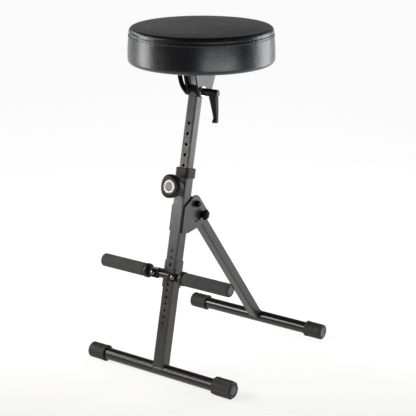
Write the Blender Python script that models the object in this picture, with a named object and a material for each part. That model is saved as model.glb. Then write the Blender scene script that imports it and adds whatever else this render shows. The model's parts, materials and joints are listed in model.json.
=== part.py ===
"""Folding musician stool: a round padded seat on a leaning square column.

Metres, +Z up. +X runs along the foot bars, +Y from the front bar to the rear bar.
The origin lies on the floor, in the middle of the base.
"""

from math import acos, asin, atan2, cos, hypot, pi, radians, sin, sqrt

import bmesh
import bpy

# Fits and facets
GAP = 0.0003             # between pieces that touch
ROUND_SIDES = 24         # facets on a round piece
SMALL_SIDES = 16         # facets on a small fastener
SEAT_SIDES = 48          # facets on the seat

# Foot bars and their end caps
BAR_DIAMETER = 0.030
BAR_WALL = 0.002
FRONT_SPAN = 0.425       # over the caps
REAR_SPAN = 0.410        # over the caps
BASE_DEPTH = 0.420       # between the bars' axes
CAP_WALL = 0.004
CAP_LENGTH = 0.048
CAP_END = 0.006          # thickness of the closed end
CAP_EDGE = 0.004         # rounding of the closed end
CAP_LIP = 0.0007         # bead round the mouth
CAP_LIP_LENGTH = 0.005
LEVELLER_SIDES = 10
LEVELLER_LENGTH = 0.052
LEVELLER_LIFT = 0.0015   # between its lowest and highest side, for an uneven floor
LEVELLER_DISC = 0.022    # diameter
LEVELLER_DISC_DEPTH = 0.0025

# Seat post, the inner square tube
POST_WIDTH = 0.025
POST_WALL = 0.002
TUBE_CORNER = 0.003      # outer corner radius of every square tube
POST_HOLE = 0.008
POST_HOLE_PITCH = 0.025
POST_HOLES_ABOVE = 6     # above the one at the clamp
POST_HOLES_BELOW = 4
POST_TAIL = 0.055        # below the lowest hole
PLUG_FLANGE = 0.002
PLUG_DEPTH = 0.003
HOOD_WALL = 0.0015       # skirts of the hood on the post's top
HOOD_ARCH = 0.003        # top of a skirt's arch, below the tilt pivot
HOOD_REACH = 0.0115      # skirts' ends, below the tilt pivot
HOOD_FOOT = 0.001        # width of a skirt beside its arch

# Column, the outer square tube
COLUMN_LEAN = radians(12.9)
POST_FIT = 0.0005        # all round, between post and column
COLUMN_WALL = 0.002
COLUMN_LENGTH = 0.4865   # from the bar's axis to the top
COLUMN_HOLE = 0.006
COLUMN_HOLE_PITCH = 0.016
COLUMN_HOLE_COUNT = 12
LOWEST_HOLE = 0.114
COLLAR_WALL = 0.003
COLLAR_LENGTH = 0.0235
COLLAR_LIP = 0.0025
COLLAR_EDGE = 0.001

# Height clamp on the column's front
CLAMP_HEIGHT = 0.445     # along the column
CLAMP_SCREW = 0.010
BOSS_DIAMETER = 0.022
BOSS_LENGTH = 0.010
KNOB_STANDOFF = 0.001
KNOB_DIAMETER = 0.055
KNOB_LOBE = 0.07         # lobe height, as a share of the radius
KNOB_DEPTH = 0.024
KNOB_HUB = 0.010         # tapered hub behind the lobes
KNOB_EDGE = 0.007
KNOB_FLOOR = 0.006       # from the screw's end to the front
KNOB_DISC = 0.032        # diameter
KNOB_DISC_DEPTH = 0.002

# Rear leg and its hinge
LEG_WASHER = 0.0022
LEG_WASHER_DIAMETER = 0.022
LEG_WALL = 0.002
PIVOT_HEIGHT = 0.406     # along the column
PIVOT_BEHIND = 0.0165    # behind the column's rear face
LEG_HEAD = 0.009         # leg past the pivot
LEG_PLUG_INSET = 0.004   # plug's flange inside the leg's faces
PLATE_THICKNESS = 0.004
PLATE_CROWN = 0.0205     # radius round the pivot
PLATE_REACH = 0.060      # along the leg, from the pivot
PLATE_TOP = 0.398        # where the plate meets the column's front edge, along the column
PLATE_FOOT = 0.335       # lower edge, along the column
PLATE_LAP = 0.026        # how far the plate covers the column's side
PLATE_CORNER = 0.005     # lower front corner
PLATE_EDGE = 0.0006
HINGE_BOLT = 0.010
BOLT_HEAD = 0.017        # over the flats
BOLT_HEAD_DEPTH = 0.006
STAR_HEAD = 0.0145       # pivot bolt's head
STAR_HEAD_DEPTH = 0.0105
LOCK_RADIUS = 0.041      # lock bolt, from the pivot
LOCK_BOLT = 0.008
LOCK_NUT = 0.013         # over the flats
LOCK_KNOB = 0.023        # diameter
STAR_LOBES = 6           # on the lock knob and the pivot bolt's head
STAR_HEIGHT = 0.1        # lobe height, as a share of the radius
LOCK_KNOB_DEPTH = 0.016
BOLT_TAIL = 0.0015       # thread past a nut

# Footrest
FOOTREST_HOLE = 6        # column hole, counted from the lowest, that takes the lower screw
SCREW_PITCHES = 3        # hole pitches between the two locking screws
SLEEVE_WALL = 0.002
SLEEVE_LENGTH = 0.065
SLEEVE_FIT = 0.0004
PIN_DIAMETER = 0.005
PIN_HEAD = 0.009
PIN_HEAD_DEPTH = 0.0025
ARM_BOLT_SPACING = 0.059
ARM_BOLT = 0.008
ARM_BOLT_HEAD = 0.015
ARM_BOLT_HEAD_DEPTH = 0.005
ARM_NUT_DEPTH = 0.006
EAR_RADIUS = 0.011
EAR_THICKNESS = 0.0055
EAR_LAP = 0.004          # ear into the cross tube
CROSS_TUBE = 0.0195      # diameter
CROSS_PAD = 0.014        # block between cross tube and sleeve
ARM_TUBE = 0.020
ARM_WALL = 0.002
ARM_REACH = 0.1865       # from the middle to the grip's end
NECK_LENGTH = 0.0165     # from the arm's bolt to the tube
GRIP_DIAMETER = 0.032
GRIP_EDGE = 0.004
GRIP_PLUG_DEPTH = 0.002

# Seat
TILT_HEIGHT = 0.672      # pivot, along the column
POST_HEAD = 0.010        # post past the pivot
SEAT_RISE = 0.0642       # from the pivot up to the seat's lower edge
SEAT_OFFSET = 0.022      # seat centre behind the pivot
SEAT_DIAMETER = 0.346
SEAT_THICKNESS = 0.0835  # at the shoulder
SEAM_DIAMETER = 0.338
SEAM_DROP = 0.012        # seam below the shoulder
SEAM_GROOVE = 0.0015
CROWN = 0.0068
SHOULDER = 0.009         # from the seam in to the shoulder
SEAT_EDGE = 0.010        # rounding of the lower edge
BOARD_DIAMETER = 0.316
BOARD_THICKNESS = 0.012
BOARD_RECESS = 0.002
SEAT_PLATE_WIDTH = 0.094
SEAT_PLATE_LENGTH = 0.120
SEAT_PLATE_CORNER = 0.006
SEAT_PLATE_THICKNESS = 0.003
SCREW_INSET = 0.007      # seat screws, from the plate's edges
SEAT_SCREW = 0.005
SEAT_SCREW_HEAD = 0.0095
SEAT_SCREW_HEAD_DEPTH = 0.003
SEAT_SCREW_BITE = 0.008  # into the board

# Tilt head
TILT_BOLT = 0.010
FRICTION_WASHER = 0.001
FRICTION_DIAMETER = 0.024
CHEEK_THICKNESS = 0.0045
CHEEK_FRONT = 0.031      # ahead of the pivot, at the top
CHEEK_REAR = 0.060       # behind the pivot, at the top
CHEEK_HEEL = 0.051       # rear corner, behind the pivot
CHEEK_HEEL_RISE = 0.025  # rear corner, above the pivot
CHEEK_CHIN = 0.037       # lower corner, behind the pivot
CHEEK_CHIN_DROP = 0.006  # lower corner, below the pivot
CHEEK_RADIUS = 0.014     # round the pivot
CHEEK_EDGE = 0.0005
STAY_SPACER = 0.002
STAY_SPACER_DIAMETER = 0.018
STAY_THICKNESS = 0.005
STAY_WIDTH = 0.011
STAY_EYE = 0.0125        # radius round the bolt
STAY_FRONT = 0.0355      # ahead of the pivot, at the top
STAY_BELLY = 0.028       # ahead of the pivot, where its curve turns in
LEVER_WASHER = 0.002
LEVER_WASHER_DIAMETER = 0.024
LEVER_HUB = 0.018
LEVER_HUB_LENGTH = 0.0395
LEVER_HUB_FLOOR = 0.007  # from the bolt's end to the hub's end
LEVER_SET = 0.002        # arm back from the hub's end
LEVER_LENGTH = 0.0715    # from the bolt to the tip
LEVER_ROOT = 0.014       # side width at the hub
LEVER_TIP = 0.008        # side width at the tip
LEVER_THICKNESS = 0.018  # across, at the hub
LEVER_FOOT = 0.0085      # across, at the tip
LEVER_TOE = 0.006        # how far the tip turns forward
LEVER_BOW = 0.0035       # how far the arm bows back at the tip
BUTTON_DIAMETER = 0.013
BUTTON_DEPTH = 0.003

# Worked out from the sizes above
BAR_RADIUS = BAR_DIAMETER / 2
CAP_RADIUS = BAR_RADIUS + GAP + CAP_WALL
BAR_HEIGHT = CAP_RADIUS + CAP_LIP
COLUMN_WIDTH = POST_WIDTH + 2 * (POST_FIT + COLUMN_WALL)
COLUMN_HALF = COLUMN_WIDTH / 2
POST_FOOT = CLAMP_HEIGHT - POST_HOLES_BELOW * POST_HOLE_PITCH - POST_TAIL
POST_TOP = TILT_HEIGHT + POST_HEAD
PLATE_INNER = COLUMN_HALF + GAP
PLATE_OUTER = PLATE_INNER + PLATE_THICKNESS
LEG_WIDTH = 2 * (PLATE_INNER - 2 * GAP - LEG_WASHER)
PIVOT_Y = COLUMN_HALF + PIVOT_BEHIND
LEVELLER_CORNER = (BAR_HEIGHT + LEVELLER_LIFT / 2) / cos(pi / LEVELLER_SIDES)
LEVELLER_STEP = 2 * pi / LEVELLER_SIDES
LEVELLER_FRONT = LEVELLER_CORNER * max(sin((k + 0.5) * LEVELLER_STEP) for k in range(LEVELLER_SIDES))
FRONT_Y = (LEVELLER_FRONT - BAR_HEIGHT - BASE_DEPTH) / 2
REAR_Y = FRONT_Y + BASE_DEPTH
PIVOT_WORLD_Y = PIVOT_HEIGHT * sin(COLUMN_LEAN) + PIVOT_Y * cos(COLUMN_LEAN) + FRONT_Y
PIVOT_WORLD_Z = PIVOT_HEIGHT * cos(COLUMN_LEAN) - PIVOT_Y * sin(COLUMN_LEAN) + BAR_HEIGHT
LEG_SPREAD = atan2(REAR_Y - PIVOT_WORLD_Y, PIVOT_WORLD_Z - BAR_HEIGHT)
LEG_LENGTH = hypot(REAR_Y - PIVOT_WORLD_Y, PIVOT_WORLD_Z - BAR_HEIGHT)
FOLD = LEG_SPREAD + COLUMN_LEAN
FOOTREST_HEIGHT = LOWEST_HOLE + (FOOTREST_HOLE + SCREW_PITCHES / 2) * COLUMN_HOLE_PITCH
SLEEVE_HALF = COLUMN_HALF + SLEEVE_FIT + SLEEVE_WALL
EAR_Y = -(SLEEVE_HALF + GAP + EAR_RADIUS)
ARM_BOLT_X = ARM_BOLT_SPACING / 2
ARM_LENGTH = ARM_REACH - ARM_BOLT_X
CHEEK_INNER = POST_WIDTH / 2 + FRICTION_WASHER + 2 * GAP
CHEEK_OUTER = CHEEK_INNER + CHEEK_THICKNESS
BOARD_BASE = SEAT_RISE + BOARD_RECESS
SEAT_PLATE_BASE = BOARD_BASE - GAP - SEAT_PLATE_THICKNESS
SEAT_PLATE_Y = (CHEEK_REAR - CHEEK_FRONT) / 2
CHEEK_TOP = SEAT_PLATE_BASE - GAP
STAY_INNER = CHEEK_OUTER + STAY_SPACER + 2 * GAP
LEVER_START = CHEEK_OUTER + LEVER_WASHER + 2 * GAP
LEVER_END = LEVER_START + LEVER_HUB_LENGTH


def finish(name, colour, roughness, metallic=0.0):
    """Return a plain material of one colour."""
    material = bpy.data.materials.new(name)
    material.use_nodes = True
    shader = material.node_tree.nodes["Principled BSDF"]
    shader.inputs["Base Color"].default_value = (*colour, 1.0)
    shader.inputs["Roughness"].default_value = roughness
    shader.inputs["Metallic"].default_value = metallic
    return material


def frame(name, parent=None, place=(0, 0, 0), turn_x=0.0):
    """Return an empty that carries the pieces of one body."""
    empty = bpy.data.objects.new(name, None)
    bpy.context.collection.objects.link(empty)
    empty.parent = parent
    empty.location = place
    empty.rotation_euler = (turn_x, 0, 0)
    return empty


def piece(name, bm, material, parent, place=(0, 0, 0)):
    """Turn a bmesh into a named object under its frame."""
    bmesh.ops.recalc_face_normals(bm, faces=bm.faces)
    mesh = bpy.data.meshes.new(name)
    bm.to_mesh(mesh)
    bm.free()
    mesh.materials.append(material)
    mesh.shade_smooth()
    mesh.set_sharp_from_angle(angle=radians(35))
    obj = bpy.data.objects.new(name, mesh)
    bpy.context.collection.objects.link(obj)
    obj.parent = parent
    obj.location = place
    return obj


def combine(obj, bm, operation):
    """Join or cut an object with the closed shapes in a bmesh, given in the object's own place."""
    number = len(obj.modifiers) + 1
    tool = piece(f"{obj.name}_tool_{number}", bm, obj.data.materials[0], obj.parent, obj.location)
    tool.hide_render = True
    tool.display_type = "WIRE"
    modifier = obj.modifiers.new(operation.title(), "BOOLEAN")
    modifier.object = tool
    modifier.operation = operation
    modifier.solver = "EXACT"


def cut(obj, bm):
    """Cut the shapes in a bmesh out of an object."""
    combine(obj, bm, "DIFFERENCE")


def fuse(obj, bm):
    """Union an object with the shape in a bmesh."""
    combine(obj, bm, "UNION")


def spun_point(axis, radius, angle, along):
    """Place a point of a turned shape; angle 0 points down, or to the front on a Z axis."""
    side, drop = radius * sin(angle), -radius * cos(angle)
    if axis == "X":
        return (along, side, drop)
    if axis == "Y":
        return (side, along, drop)
    return (side, drop, along)


def turned(profile, axis, sides=ROUND_SIDES, ring=False, shape=None, flats=False, centre=(0, 0, 0), bm=None):
    """Turn (radius, along) points round an axis, with a facet at angle 0.

    A ring's profile is a closed loop, and any other profile is capped at both ends.
    shape gives a factor for an angle and a radius. flats measures radii over the facets.
    """
    bm = bm or bmesh.new()
    stretch = 1 / cos(pi / sides) if flats else 1.0
    angles = [2 * pi * (k + 0.5) / sides for k in range(sides)]
    rows = []
    for radius, along in profile:
        spots = [(stretch * radius * (shape(a, radius) if shape else 1.0), a) for a in angles]
        if radius == 0:
            spots = [(0, 0)]
        places = [spun_point(axis, reach, angle, along) for reach, angle in spots]
        rows.append([bm.verts.new([p + c for p, c in zip(place, centre)]) for place in places])
    pairs = list(zip(rows, rows[1:]))
    if ring:
        pairs.append((rows[-1], rows[0]))
    for upper, lower in pairs:
        for k in range(sides):
            corners = [upper[k % len(upper)], upper[(k + 1) % len(upper)]]
            corners += [lower[(k + 1) % len(lower)], lower[k % len(lower)]]
            corners = list(dict.fromkeys(corners))
            if len(corners) > 2:
                bm.faces.new(corners)
    for row in (rows[0], rows[-1]):
        if len(row) > 1 and not ring:
            bm.faces.new(row)
    return bm


def rod(diameter, start, end, axis, centre=(0, 0, 0), sides=SMALL_SIDES, bm=None):
    """Return a plain closed cylinder, or add it to a bmesh."""
    return turned([(diameter / 2, start), (diameter / 2, end)], axis, sides, centre=centre, bm=bm)


def washer(bore, diameter, start, end, axis="X", centre=(0, 0, 0), shape=None):
    """Return a flat ring."""
    inner, outer = bore / 2, diameter / 2
    loop = [(inner, start), (outer, start), (outer, end), (inner, end)]
    return turned(loop, axis, ring=True, shape=shape, centre=centre)


def hexagon(above):
    """Return a shape that makes rows wider than a radius six-sided."""
    side = pi / 3
    return lambda angle, radius: 1 / cos(angle % side - side / 2) if radius > above else 1.0


def lobes(count, height, first, inner, outer):
    """Return a shape that swells a knob into lobes, fully at the outer radius and not at the inner."""
    def factor(angle, radius):
        share = min(max((radius - inner) / (outer - inner), 0), 1)
        return 1 + height * share * cos(count * (angle - first))
    return factor


def disc(diameter, back, front):
    """Profile of a flat disc with its front rim taken off."""
    radius = diameter / 2
    edge = (front - back) / 4
    return [(0, back), (radius, back), (radius, front - edge), (radius - edge, front), (0, front)]


def domed_screw(head, depth, shank, face, tip):
    """Profile of a screw whose domed head rises from face, away from its tip."""
    way = 1 if face > tip else -1
    crown = [(x * head / 2, face + way * y * depth) for x, y in arc((0, 0), 1, pi / 2, 0, 4)]
    return [(0, crown[0][1])] + crown[1:] + [(shank / 2, face), (shank / 2, tip), (0, tip)]


def arc(centre, radius, start, end, steps=8):
    """Return points along an arc, both ends included."""
    angles = [start + (end - start) * k / steps for k in range(steps + 1)]
    return [(centre[0] + radius * cos(a), centre[1] + radius * sin(a)) for a in angles]


def rounded(width, length, radius, steps=3):
    """Return the outline of a rectangle with round corners."""
    points = []
    for quarter, (x, y) in enumerate(((1, 1), (-1, 1), (-1, -1), (1, -1))):
        corner = (x * (width / 2 - radius), y * (length / 2 - radius))
        points += arc(corner, radius, quarter * pi / 2, (quarter + 1) * pi / 2, steps)
    return points


def plate(outline, start, end, axis="X", edge=0.0):
    """Extrude an outline along an axis and round its rims by edge."""
    bm = bmesh.new()
    low = [bm.verts.new(flat_point(axis, u, v, start)) for u, v in outline]
    high = [bm.verts.new(flat_point(axis, u, v, end)) for u, v in outline]
    caps = [bm.faces.new(low), bm.faces.new(high)]
    for k in range(len(outline)):
        bm.faces.new((low[k - 1], low[k], high[k], high[k - 1]))
    if edge:
        rims = list({e for cap in caps for e in cap.edges})
        bmesh.ops.recalc_face_normals(bm, faces=bm.faces)
        bmesh.ops.bevel(bm, geom=rims, offset=edge, segments=2, profile=0.5, affect="EDGES")
    return bm


def flat_point(axis, u, v, along):
    """Place an outline's point in the plane that an axis is square to."""
    if axis == "X":
        return (along, u, v)
    if axis == "Y":
        return (u, along, v)
    return (u, v, along)


def square_rows(rows, ring=False):
    """Loft (width, corner, height) squares along Z, as a closed loop or capped at both ends."""
    bm = bmesh.new()
    loops = []
    for width, corner, height in rows:
        loops.append([bm.verts.new((x, y, height)) for x, y in rounded(width, width, corner)])
    pairs = list(zip(loops, loops[1:]))
    if ring:
        pairs.append((loops[-1], loops[0]))
    else:
        bm.faces.new(loops[0])
        bm.faces.new(loops[-1])
    for upper, lower in pairs:
        for k in range(len(upper)):
            bm.faces.new((upper[k - 1], upper[k], lower[k], lower[k - 1]))
    return bm


def square_tube(width, wall, start, end):
    """Return a square tube along Z, open at both ends."""
    inner_corner = max(TUBE_CORNER - wall, GAP)
    bore = width - 2 * wall
    rows = [(width, TUBE_CORNER, start), (width, TUBE_CORNER, end), (bore, inner_corner, end)]
    return square_rows(rows + [(bore, inner_corner, start)], ring=True)


def tube_plug(bore, flange, end, way):
    """Return a plug with its flange on a tube's end at height end; way is 1 at the top, -1 below."""
    spigot = bore - 2 * GAP
    corner = TUBE_CORNER / 2
    edge = PLUG_FLANGE / 2
    seat = end + way * GAP
    rows = [(spigot, corner, end - way * PLUG_DEPTH), (spigot, corner, seat), (flange, TUBE_CORNER, seat)]
    rows.append((flange, TUBE_CORNER, seat + way * edge))
    rows.append((flange - 2 * edge, TUBE_CORNER, seat + way * PLUG_FLANGE))
    return square_rows(rows)


def saddle_start(width, wall):
    """How far from a bar's axis a square tube starts, so that its saddle ends at full wall."""
    return sqrt(max((BAR_RADIUS + GAP) ** 2 - (width / 2 - wall) ** 2, 0))


def foot_bar(name, span, parent, material):
    """A round tube whose ends stop short of the caps' closed ends."""
    reach = span / 2 - CAP_END - GAP
    inner = BAR_RADIUS - BAR_WALL
    loop = [(inner, -reach), (BAR_RADIUS, -reach), (BAR_RADIUS, reach), (inner, reach)]
    piece(name, turned(loop, "X", ring=True), material, parent)


def end_cap(name, span, side, parent, material):
    """A moulded cap pushed over a bar's end."""
    end = span / 2
    mouth = end - CAP_LENGTH
    bore = BAR_RADIUS + GAP
    corner = arc((CAP_RADIUS - CAP_EDGE, end - CAP_EDGE), CAP_EDGE, pi / 2, 0, 3)
    lip = mouth + CAP_LIP_LENGTH
    profile = [(0, end)] + corner + [(CAP_RADIUS, lip + CAP_LIP), (BAR_HEIGHT, lip), (BAR_HEIGHT, mouth)]
    profile += [(bore, mouth), (bore, end - CAP_END), (0, end - CAP_END)]
    piece(name, turned([(r, side * t) for r, t in profile], "X", flats=True), material, parent)


def levelling_cap(parent, body, inlay):
    """A many-sided cap set off centre on the bar's end, with a disc let into its face."""
    end = FRONT_SPAN / 2
    mouth = end - LEVELLER_LENGTH
    radius = BAR_HEIGHT + LEVELLER_LIFT / 2
    recess = LEVELLER_DISC / 2 + GAP
    floor = end - LEVELLER_DISC_DEPTH
    middle = (0, 0, LEVELLER_LIFT / 2)
    profile = [(0, floor), (recess, floor), (recess, end), (radius - CAP_EDGE, end)]
    profile += [(radius, end - CAP_EDGE), (radius, mouth), (0, mouth)]
    solid = turned(profile, "X", LEVELLER_SIDES, flats=True, centre=middle)
    cap = piece("levelling_cap", solid, body, parent)
    cut(cap, rod(BAR_DIAMETER + 4 * GAP, 0, end - CAP_END, "X", sides=ROUND_SIDES))
    face = turned(disc(LEVELLER_DISC, floor + GAP, end), "X", centre=middle)
    piece("levelling_cap_disc", face, inlay, parent)


def column(parent, steel, plastic):
    """The outer tube with its row of holes, and the moulded collar on its top."""
    start = saddle_start(COLUMN_WIDTH, COLUMN_WALL)
    tube = piece("outer_column", square_tube(COLUMN_WIDTH, COLUMN_WALL, start, COLUMN_LENGTH), steel, parent)
    cut(tube, rod(BAR_DIAMETER + 2 * GAP, -COLUMN_WIDTH, COLUMN_WIDTH, "X", sides=ROUND_SIDES))
    inside = -(COLUMN_HALF - COLUMN_WALL) / 2
    holes = rod(CLAMP_SCREW + 2 * GAP, -COLUMN_WIDTH, inside, "Y", (0, 0, CLAMP_HEIGHT))
    for k in range(COLUMN_HOLE_COUNT):
        height = LOWEST_HOLE + k * COLUMN_HOLE_PITCH
        rod(COLUMN_HOLE, -COLUMN_WIDTH, inside, "Y", (0, 0, height), bm=holes)
    cut(tube, holes)

    seat = COLUMN_WIDTH + 2 * GAP
    width = seat + 2 * COLLAR_WALL
    mouth = POST_WIDTH + 2 * GAP
    top = COLUMN_LENGTH + GAP + COLLAR_LIP
    corner = TUBE_CORNER + COLLAR_WALL
    rows = [(width, corner, top - COLLAR_LENGTH), (width, corner, top - COLLAR_EDGE)]
    rows += [(width - 2 * COLLAR_EDGE, corner, top), (mouth, TUBE_CORNER, top)]
    rows += [(mouth, TUBE_CORNER, COLUMN_LENGTH + GAP), (seat, TUBE_CORNER, COLUMN_LENGTH + GAP)]
    rows += [(seat, TUBE_CORNER, top - COLLAR_LENGTH)]
    piece("column_collar", square_rows(rows, ring=True), plastic, parent)


def height_clamp(boss_frame, screw_frame, knob_frame, steel, plastic, inlay):
    """Threaded boss on the column, screw towards the post, and the lobed hand knob with its disc."""
    bore = CLAMP_SCREW + 2 * GAP
    piece("clamp_boss", washer(bore, BOSS_DIAMETER, 0, -BOSS_LENGTH, "Y"), steel, boss_frame)
    back = BOSS_LENGTH + KNOB_STANDOFF
    front = back + KNOB_HUB + KNOB_DEPTH
    screw_end = front - KNOB_FLOOR - KNOB_DISC_DEPTH
    tip = COLUMN_HALF - POST_WIDTH / 2
    piece("clamp_screw", rod(CLAMP_SCREW, tip, -screw_end, "Y"), steel, screw_frame)

    hub, radius = BOSS_DIAMETER / 2, KNOB_DIAMETER / 2
    recess = KNOB_DISC / 2 + GAP
    floor = front - KNOB_DISC_DEPTH
    profile = [(0, floor), (recess, floor), (recess, front)]
    profile += arc((radius - KNOB_EDGE, front - KNOB_EDGE), KNOB_EDGE, pi / 2, 0, 4)
    profile += arc((radius - KNOB_EDGE, back + KNOB_HUB + KNOB_EDGE), KNOB_EDGE, 0, -pi / 2, 4)
    profile += [(hub, back), (bore / 2, back), (bore / 2, screw_end + GAP), (0, screw_end + GAP)]
    swell = lobes(3, KNOB_LOBE, pi / 2, KNOB_DISC / 2 + GAP, radius)
    body = turned([(r, -t) for r, t in profile], "Y", 2 * ROUND_SIDES, shape=swell)
    piece("height_knob", body, plastic, knob_frame)
    profile = [(r, -t) for r, t in disc(KNOB_DISC, floor + GAP, front)]
    piece("height_knob_disc", turned(profile, "Y"), inlay, knob_frame)


def seat_post(parent, steel, plastic):
    """The inner tube with its row of holes and a plug at each end."""
    tube = piece("seat_post", square_tube(POST_WIDTH, POST_WALL, POST_FOOT, POST_TOP), steel, parent)
    holes = rod(TILT_BOLT + 2 * GAP, -POST_WIDTH, POST_WIDTH, "X", (0, 0, TILT_HEIGHT))
    inside = -(POST_WIDTH / 2 - POST_WALL) / 2
    for k in range(-POST_HOLES_BELOW, POST_HOLES_ABOVE + 1):
        height = CLAMP_HEIGHT + k * POST_HOLE_PITCH
        rod(POST_HOLE, -POST_WIDTH, inside, "Y", (0, 0, height), bm=holes)
    cut(tube, holes)
    bore = POST_WIDTH - 2 * POST_WALL
    hood = piece("post_top_plug", tube_plug(bore, POST_WIDTH, POST_TOP, 1), plastic, parent)
    inner = POST_WIDTH / 2 + GAP
    outer = inner + HOOD_WALL
    base = POST_TOP + GAP + PLUG_FLANGE / 4
    lid = rounded(POST_WIDTH - 2 * GAP, 2 * (outer + GAP), TUBE_CORNER)
    fuse(hood, plate(lid, base, base + PLUG_FLANGE, "Z", PLUG_FLANGE / 4))
    for side in (-1, 1):
        fuse(hood, plate(skirt_outline(base + PLUG_FLANGE / 2), side * inner, side * outer, "Y"))
    guide = COLUMN_WIDTH - 2 * (COLUMN_WALL + GAP)
    piece("post_foot_guide", tube_plug(bore, guide, POST_FOOT, -1), plastic, parent)


def skirt_outline(top):
    """Front view of a skirt of the post's hood, with an arch in its lower edge."""
    half = POST_WIDTH / 2 - GAP
    low = TILT_HEIGHT - HOOD_REACH
    rise = HOOD_REACH - HOOD_ARCH
    span = half - HOOD_FOOT
    arch = [(span * x, low + rise * z) for x, z in arc((0, 0), 1, 0, pi, 10)]
    return [(half, top), (half, low)] + arch + [(-half, low), (-half, top)]


def hinge_plates(parent, steel):
    """A pair of slotted plates on the column's sides that carry the rear leg."""
    pivot = (PIVOT_Y, PIVOT_HEIGHT)
    along = (sin(FOLD), -cos(FOLD))
    across = (cos(FOLD), sin(FOLD))

    def on_leg(reach, offset):
        return tuple(p + reach * a + offset * b for p, a, b in zip(pivot, along, across))

    lap = COLUMN_HALF - PLATE_LAP
    front = (lap, PLATE_TOP)
    apart = (front[0] - pivot[0], front[1] - pivot[1])
    first = atan2(apart[1], apart[0]) % (2 * pi) - acos(PLATE_CROWN / hypot(*apart))
    crown = arc(pivot, PLATE_CROWN, first, FOLD, 8)
    corner = arc((lap + PLATE_CORNER, PLATE_FOOT + PLATE_CORNER), PLATE_CORNER, -pi / 2, -pi, 4)
    outline = corner + [front] + crown + [on_leg(PLATE_REACH, PLATE_CROWN)]
    outline += [on_leg(PLATE_REACH, -PLATE_CROWN), (COLUMN_HALF, PLATE_FOOT)]

    slot_half = LOCK_BOLT / 2 + GAP
    low, high = -pi / 2, FOLD - pi / 2
    slot = arc(pivot, LOCK_RADIUS + slot_half, low, high, 10)
    slot += arc(on_leg(LOCK_RADIUS, 0), slot_half, high, high + pi, 6)[1:-1]
    slot += arc(pivot, LOCK_RADIUS - slot_half, high, low, 10)
    slot += arc((PIVOT_Y, PIVOT_HEIGHT - LOCK_RADIUS), slot_half, low + pi, low + 2 * pi, 6)[1:-1]

    for name, side in (("left", -1), ("right", 1)):
        inner, outer = side * PLATE_INNER, side * PLATE_OUTER
        shape = plate(outline, inner, outer, "X", PLATE_EDGE)
        obj = piece(f"hinge_plate_{name}", shape, steel, parent)
        cut(obj, plate(slot, inner - side * PLATE_THICKNESS, outer + side * PLATE_THICKNESS))
        reach = 2 * PLATE_OUTER
        cut(obj, rod(HINGE_BOLT + 2 * GAP, -reach, reach, "X", (0, *pivot)))


def headed_bolt(shank, head, depth, head_at, tip, shape, sides=ROUND_SIDES):
    """Profile of a bolt whose head rises outward from head_at and whose shank ends at tip."""
    way = 1 if head_at > tip else -1
    rim = depth / 5
    end = head_at + way * depth
    profile = [(0, end), (head / 2 - rim, end), (head / 2, end - way * rim), (head / 2, head_at)]
    profile += [(shank / 2, head_at), (shank / 2, tip), (0, tip)]
    return turned(profile, "X", sides, shape=shape)


def pivot_fasteners(parent, dark_steel, plastic):
    """Bolt, nut and spacing washers that the rear leg turns on."""
    face = PLATE_OUTER + GAP
    tip = -(face + BOLT_HEAD_DEPTH + BOLT_TAIL)
    star = lobes(STAR_LOBES, STAR_HEIGHT, 0, HINGE_BOLT / 2, STAR_HEAD / 2)
    bolt = headed_bolt(HINGE_BOLT, STAR_HEAD, STAR_HEAD_DEPTH, face, tip, star, 2 * ROUND_SIDES)
    piece("leg_pivot_bolt", bolt, dark_steel, parent)
    shape = hexagon((HINGE_BOLT + BOLT_HEAD) / 4)
    ring = washer(HINGE_BOLT + 2 * GAP, BOLT_HEAD, -face, -(face + BOLT_HEAD_DEPTH), shape=shape)
    piece("leg_pivot_nut", ring, dark_steel, parent)
    for name, side in (("left", -1), ("right", 1)):
        start = side * (LEG_WIDTH / 2 + GAP)
        ring = washer(HINGE_BOLT + 2 * GAP, LEG_WASHER_DIAMETER, start, start + side * LEG_WASHER)
        piece(f"leg_washer_{name}", ring, plastic, parent)


def rear_leg(parent, steel, plastic):
    """The rear leg's tube, saddled on the rear bar, with a plug in its head."""
    start = saddle_start(LEG_WIDTH, LEG_WALL) - LEG_LENGTH
    tube = piece("rear_leg", square_tube(LEG_WIDTH, LEG_WALL, start, LEG_HEAD), steel, parent)
    bar = (0, 0, -LEG_LENGTH)
    cut(tube, rod(BAR_DIAMETER + 2 * GAP, -LEG_WIDTH, LEG_WIDTH, "X", bar, ROUND_SIDES))
    holes = rod(HINGE_BOLT + 2 * GAP, -LEG_WIDTH, LEG_WIDTH, "X")
    rod(LOCK_BOLT + 2 * GAP, -LEG_WIDTH, LEG_WIDTH, "X", (0, 0, -LOCK_RADIUS), bm=holes)
    cut(tube, holes)
    bore = LEG_WIDTH - 2 * LEG_WALL
    flange = LEG_WIDTH - 2 * LEG_PLUG_INSET
    plug = tube_plug(bore, max(flange, bore - 2 * GAP), LEG_HEAD, 1)
    piece("leg_top_plug", plug, plastic, parent)


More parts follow.
